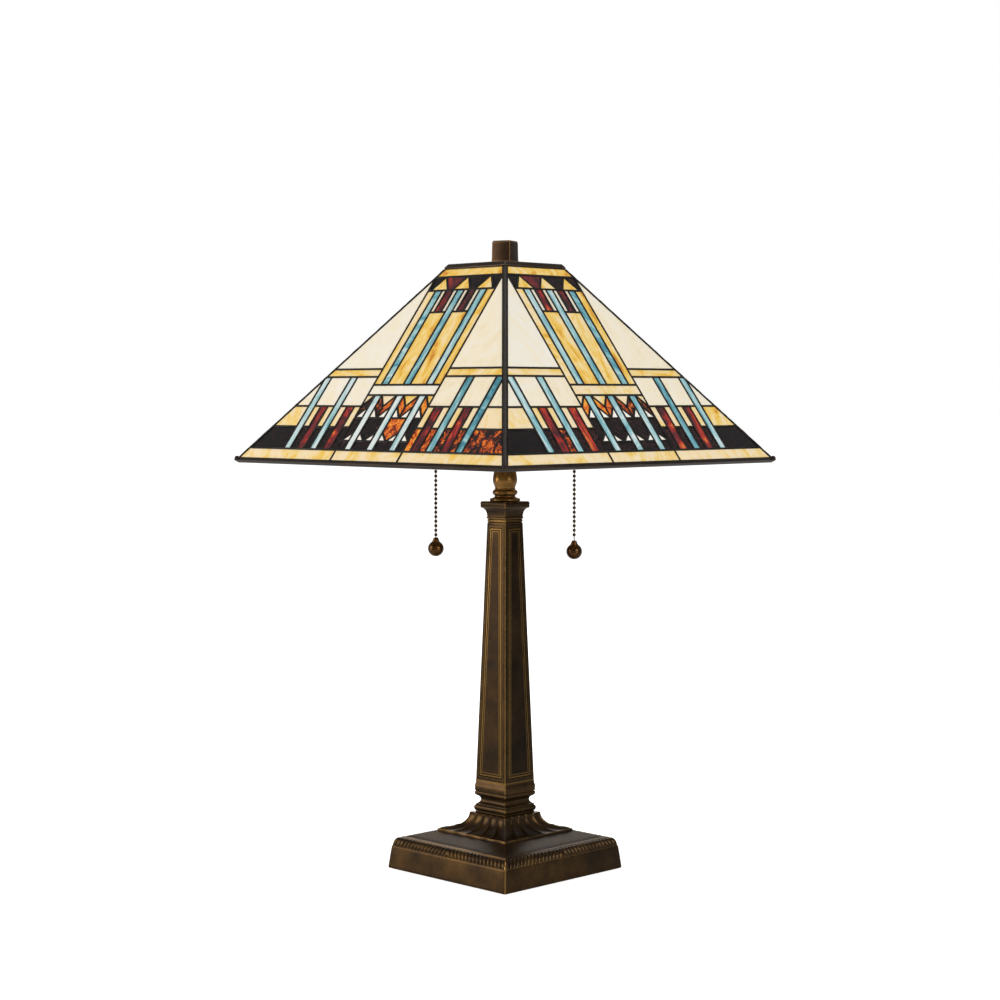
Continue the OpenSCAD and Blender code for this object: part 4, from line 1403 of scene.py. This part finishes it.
    def _panes(self, kind: Pane, node: bpy.types.Object) -> None:
        """Makes the panes of one glass: cushioned, each cut from its own part of a sheet.

        Args:
            kind: The kind of glass.
            node: The node that holds the panes.
        """
        bm = merged_copy(node)
        tone_layer = bm.verts.layers.float.new("tone")
        streak_layer = bm.verts.layers.float_vector.new("streak")
        for pane in self._islands(bm):
            middle = sum((v.co for v in pane), Vector()) / len(pane)
            face = self._face_of(middle)
            back = self._frame(face).inverted()
            local = back @ middle
            seed = face * self.seed_face + round(local.x * 4) * self.seed_along
            rng = random.Random(seed + round(local.y * 4))
            tone = self._tone(kind, Spot(face, local.x, local.y), rng)
            angle = rng.uniform(-self.lean, self.lean)
            angle += math.pi / 2 if rng.random() < self.upright else 0
            turn = Matrix.Rotation(angle, 3, "Z")
            place = (rng.uniform(0, self.sheet), rng.uniform(0, self.sheet))
            offset = Vector((*place, rng.uniform(0, self.sheet_depth)))
            for vert in pane:
                vert[tone_layer] = tone
                vert[streak_layer] = turn @ (back @ vert.co) + offset
        for face in [f for f in bm.faces if self._faces_out(f)]:
            reach = 2 * face.calc_area() / face.calc_perimeter()
            step = min(self.cushion, reach * 0.4)
            for thickness, depth in zip((step, step * 0.6), self.cushion_rise):
                bmesh.ops.inset_individual(
                    bm, faces=[face], thickness=thickness, depth=depth, use_even_offset=True
                )
        name = kind.node.replace("_glass", "_panes")
        as_piece(bm, name, "shade", kind.finish, kind.node, [kind.node], 30)

    def _faces_out(self, face: bmesh.types.BMFace) -> bool:
        """Whether a face of a pane looks straight out of the shade, or straight in."""
        outward = self._outward(self._face_of(face.calc_center_median()))
        return abs(face.normal.dot(outward)) > ALIGNED

    @staticmethod
    def _islands(bm: bmesh.types.BMesh) -> list[list[bmesh.types.BMVert]]:
        """Finds the separate panes of a mesh.

        Args:
            bm: The mesh.

        Returns:
            The panes, as lists of their corners.
        """
        seen: set[int] = set()
        found = []
        bm.verts.index_update()
        for start in bm.verts:
            if start.index in seen:
                continue
            seen.add(start.index)
            island, queue = [], [start]
            while queue:
                vert = queue.pop()
                island.append(vert)
                for edge in vert.link_edges:
                    other = edge.other_vert(vert)
                    if other.index not in seen:
                        seen.add(other.index)
                        queue.append(other)
            found.append(island)
        return found

    def _lattice(self, face: int, side: str, node: bpy.types.Object) -> None:
        """Makes one panel's lines of solder, raised into rounded beads on both sides.

        Args:
            face: Number of the face.
            side: Its name.
            node: The lattice's node.
        """
        bm = merged_copy(node, flat=0)
        outward = self._outward(face).normalized()
        back = self._frame(face).inverted()
        for height, facing in ((self.came_t, 1), (0.0, -1)):
            flat = [
                f
                for f in bm.faces
                if f.normal.dot(outward) * facing > ALIGNED
                and abs((back @ f.calc_center_median()).z - height) < 0.05
            ]
            for step, rise in self.solder:
                bmesh.ops.inset_region(
                    bm,
                    faces=flat,
                    thickness=step,
                    depth=rise,
                    use_even_offset=True,
                    use_boundary=True,
                )
        as_piece(bm, f"{side}_lines", "shade", Finish.SOLDER, "came", [node.name], 60)

    def _hips(self, node: bpy.types.Object) -> None:
        """Makes the four hip beads, rounded and slightly uneven as run by hand.

        Args:
            node: The hips' node.
        """
        bm = merged_copy(node)
        ease_edges(bm, self.hip_soft, 2, 20)
        long_edges = [e for e in bm.edges if e.calc_length() > 60]
        bmesh.ops.subdivide_edges(bm, edges=long_edges, cuts=70)
        for vert in bm.verts:
            vert.co += vert.normal * self.hip_uneven * noise.noise(vert.co * 0.3)
        as_piece(bm, "hip_beads", "shade", Finish.SOLDER, "came", ["hip_cames"], 50)

    def _rim(self, node: bpy.types.Object) -> None:
        """Makes the channel round the rim, with a knob of solder on each corner.

        Args:
            node: The rim's node.
        """
        bm = merged_copy(node)
        ease_edges(bm, self.rim_soft, 2)
        reach = self.half - self.knob * 0.3
        for x, y in ((reach, reach), (-reach, reach), (-reach, -reach), (reach, -reach)):
            spot = Matrix.Translation((x, y, self.rim_z + 0.2))
            bmesh.ops.create_uvsphere(
                bm, u_segments=20, v_segments=12, radius=self.knob, matrix=spot
            )
        as_piece(bm, "rim_channel", "shade", Finish.RIM, "rim", ["rim_frame"], 40)

    def _cap(self, node: bpy.types.Object) -> None:
        """Makes the cap that closes the shade, with soft corners.

        Args:
            node: The cap's node.
        """
        bm = merged_copy(node)
        ease_edges(bm, self.cap_soft, 3, 25, clear_of(self.cap_hole))
        as_piece(bm, "shade_cap", "shade", Finish.RIM, "rim", ["vase_cap"], 40)


# ---------------------------------------------------------------- finial, chains and bulbs


@dataclass(frozen=True)
class Finial:
    """The square block that holds the shade down."""

    soft: float = 0.7
    socket_r: float = 7.0

    def build(self, nodes: Nodes) -> None:
        """Makes the block from its node, with soft edges.

        Args:
            nodes: The frame's nodes by name.
        """
        bm = merged_copy(nodes["finial"])
        ease_edges(bm, self.soft, 3, 25, clear_of(self.socket_r))
        as_piece(bm, "finial_block", "finial", Finish.FINIAL, "finial", ["finial"], 35)


@dataclass(frozen=True)
class PullChain:
    """A bead chain and the ball on its end."""

    side: str
    across: float
    pivot: float = 396.9
    pitch: float = 4.23
    beads: int = 20
    extra: float = 0.0
    bead_r: float = 1.6
    wire_r: float = 0.45
    ball_r: float = 7.4
    seam: float = 0.15
    collar: tuple[Point, ...] = (
        (3.7, -1.0), (3.65, -0.5), (3.0, 0.1), (2.9, 0.9), (2.3, 2.2), (2.2, 2.7), (1.7, 3.0),
    )

    def _bead(self, bm: bmesh.types.BMesh, z: float) -> None:
        """Adds one bead, with its middle at a height."""
        made = bmesh.ops.create_uvsphere(bm, u_segments=16, v_segments=10, radius=self.bead_r)
        bmesh.ops.translate(bm, verts=made["verts"], vec=(self.across, self.across, z))

    def _wire(self, bm: bmesh.types.BMesh, low: float, high: float) -> None:
        """Adds the wire that links the beads.

        Args:
            bm: The mesh that holds the beads.
            low: Height of the wire's foot.
            high: Height of its top.
        """
        centre = Matrix.Translation((self.across, self.across, (low + high) / 2))
        size = {"radius1": self.wire_r, "radius2": self.wire_r, "depth": high - low}
        bmesh.ops.create_cone(bm, cap_ends=True, segments=12, matrix=centre, **size)

    def build(self) -> None:
        """Makes the link in the guide, the hanging chain and the ball."""
        top = bmesh.new()
        for z in (self.pivot, self.pivot + self.pitch):
            self._bead(top, z)
        link = f"{self.side}_link"
        self._wire(top, self.pivot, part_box(link)[1].z / MM)
        as_piece(top, f"{link}_beads", link, Finish.CHAIN, "chain", [link])
        drop = self.beads * self.pitch + self.extra
        run = bmesh.new()
        for i in range(1, self.beads):
            self._bead(run, self.pivot - i * self.pitch)
        self._wire(run, self.pivot - drop, self.pivot - self.bead_r - 0.3)
        chain = f"{self.side}_chain"
        as_piece(run, f"{chain}_beads", chain, Finish.CHAIN, "chain", [chain])
        self._ball(self.pivot - drop - self.ball_r - 1.2)

    def _ball(self, z: float) -> None:
        """Makes the ball, with the groove at its seam and the collar on it.

        Args:
            z: Height of the ball's middle.
        """
        r, seam, throat = self.ball_r, self.seam, self.wire_r + 0.1
        outline = [(0.0, z - r), *arc_points((0, z), (r, r), -84, -3, 24)]
        outline += [(r - 0.12, z - seam), (r - 0.12, z + seam)]
        outline += arc_points((0, z), (r, r), 3, 60, 17)
        outline += [(out, z + r + up) for out, up in self.collar]
        outline += [(throat, z + r + 3.0), (throat, z + r + 1.5), (0.0, z + r + 1.5)]
        bm = turned(outline, 56, (self.across, self.across))
        ball, chain = f"{self.side}_ball", f"{self.side}_chain"
        as_piece(bm, f"{ball}_drop", chain, Finish.BALL, "ball_bronze", [ball], 40)


@dataclass(frozen=True)
class Innards:
    """Pieces whose frame mesh already has the right shape: they keep it and take a finish."""

    finishes: tuple[tuple[Finish, tuple[str, ...]], ...] = (
        (Finish.STEEL, ("bottom_cover", "cover_screws", "pipe_nut", "shade_rest", "lever_pins")),
        (Finish.STEEL, ("left_bulb_contact", "right_bulb_contact")),
        (Finish.IRON, ("base_weight",)),
        (Finish.PLASTIC, ("cord_bushing", "switch_blocks")),
        (Finish.BRASS, ("threaded_pipe", "cluster_hub", "socket_nipples", "riser_rod")),
        (Finish.BRASS, ("socket_caps", "socket_shells", "centre_contacts", "chain_guides")),
        (Finish.BRASS, ("left_lever", "right_lever", "finial_insert")),
        (Finish.FIBRE, ("socket_liners",)),
        (Finish.ALUMINIUM, ("screw_shells", "left_bulb_cap", "right_bulb_cap")),
        (Finish.BULB, ("left_bulb_glass", "right_bulb_glass")),
    )

    def dress(self, nodes: Nodes) -> None:
        """Gives each node its finish.

        Args:
            nodes: The frame's nodes by name.
        """
        for finish, names in self.finishes:
            for name in names:
                slots = nodes[name].data.materials
                slots.clear()
                slots.append(finish.material())
            log.info("%s on %s", finish.value.name, ", ".join(names))


# ---------------------------------------------------------------- studio


@dataclass(frozen=True)
class SoftLight:
    """A square soft light."""

    name: str
    place: Ring
    size: float
    power: float
    tint: str = "ffffff"

    def build(self, target: Vector) -> None:
        """Hangs the light.

        Args:
            target: The point that it faces.
        """
        data = bpy.data.lights.new(self.name, "AREA")
        data.shape, data.size, data.energy = "SQUARE", self.size, self.power
        data.color = linear(self.tint)[:3]
        light = bpy.data.objects.new(self.name, data)
        light.location = self.place
        light.rotation_mode = "QUATERNION"
        light.rotation_quaternion = (target - Vector(self.place)).to_track_quat("-Z", "Y")
        bpy.context.scene.collection.objects.link(light)


@dataclass(frozen=True)
class Studio:
    """Pale floor, soft lights and the camera."""

    distance: float = 2.0
    eye: float = 0.448
    down: float = math.radians(2.83)
    turn: float = math.radians(45.0) + math.atan(5 / 2130)
    lens: float = 77.0
    sensor: float = 36.0
    floor_size: float = 14.0
    floor_tint: str = "f4f4f4"
    floor_glow: float = 0.9
    sky_light: float = 0.27
    aim: Ring = (0.0, 0.0, 0.3)
    lights: tuple[SoftLight, ...] = (
        SoftLight("key", (-1.45, -2.3, 1.25), 1.7, 38, "fffaf2"),
        SoftLight("fill", (2.7, -0.1, 1.2), 1.6, 37, "fdfcfa"),
        SoftLight("top", (0.2, 0.1, 2.6), 1.8, 14),
        SoftLight("low", (-0.95, -1.15, 0.3), 0.4, 2.2, "fff0da"),
        SoftLight("back", (-1.7, 1.7, 0.75), 1.2, 9, "fff8f0"),
    )

    def build(self) -> None:
        """Makes everything that isn't the lamp."""
        self._camera()
        self._floor()
        for light in self.lights:
            light.build(Vector(self.aim))
        self._sky()
        view = bpy.context.scene.view_settings
        view.view_transform, view.look = "Standard", "None"

    def _camera(self) -> None:
        """Sets the camera off the corner between the front and the right side."""
        data = bpy.data.cameras.new("camera")
        data.lens, data.sensor_width = self.lens, self.sensor
        camera = bpy.data.objects.new("camera", data)
        reach = self.distance * math.sin(math.radians(45))
        camera.location = (reach, -reach, self.eye)
        camera.rotation_euler = (math.pi / 2 - self.down, 0, self.turn)
        bpy.context.scene.collection.objects.link(camera)
        bpy.context.scene.camera = camera

    def _floor(self) -> None:
        """Lays a wide pale floor that runs out into the surroundings."""
        bm = bmesh.new()
        bmesh.ops.create_grid(bm, x_segments=8, y_segments=8, size=self.floor_size)
        mesh = bpy.data.meshes.new("floor")
        bm.to_mesh(mesh)
        bm.free()
        floor = bpy.data.objects.new("floor", mesh)
        bpy.context.scene.collection.objects.link(floor)
        tree = Tree("pale_floor")
        seen = tree.node("ShaderNodeLightPath")
        finish = tree.surface(
            Base_Color=linear(self.floor_tint),
            Roughness=0.9,
            Emission_Color=tree.mix(seen, (0, 0, 0, 1), (1, 1, 1, 1)),
            Emission_Strength=self.floor_glow,
        )
        floor.data.materials.append(finish)

    def _sky(self) -> None:
        """Makes white surroundings, dimmer for what they light than for what the camera sees."""
        world = bpy.data.worlds.new("studio")
        bpy.context.scene.world = world
        world.use_nodes = True
        nodes, links = world.node_tree.nodes, world.node_tree.links
        path = nodes.new("ShaderNodeLightPath")
        span = nodes.new("ShaderNodeMapRange")
        span.inputs["To Min"].default_value = self.sky_light
        span.inputs["To Max"].default_value = 1.0
        links.new(path.outputs["Is Camera Ray"], span.inputs["Value"])
        links.new(span.outputs[0], nodes["Background"].inputs["Strength"])
        nodes["Background"].inputs["Color"].default_value = (1, 1, 1, 1)


def main() -> None:
    """Builds the lamp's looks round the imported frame."""
    logging.basicConfig(level=logging.INFO, format="%(message)s")
    for old in list(bpy.data.objects):
        bpy.data.objects.remove(old)
    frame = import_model()
    nodes = frame["nodes"]
    Studio().build()
    Base().build()
    Column().build()
    Shade().build(nodes)
    Finial().build(nodes)
    PullChain("left", -CHAIN_ACROSS).build()
    PullChain("right", CHAIN_ACROSS, extra=2.8).build()
    Innards().dress(nodes)


if __name__ == "__main__":
    main()
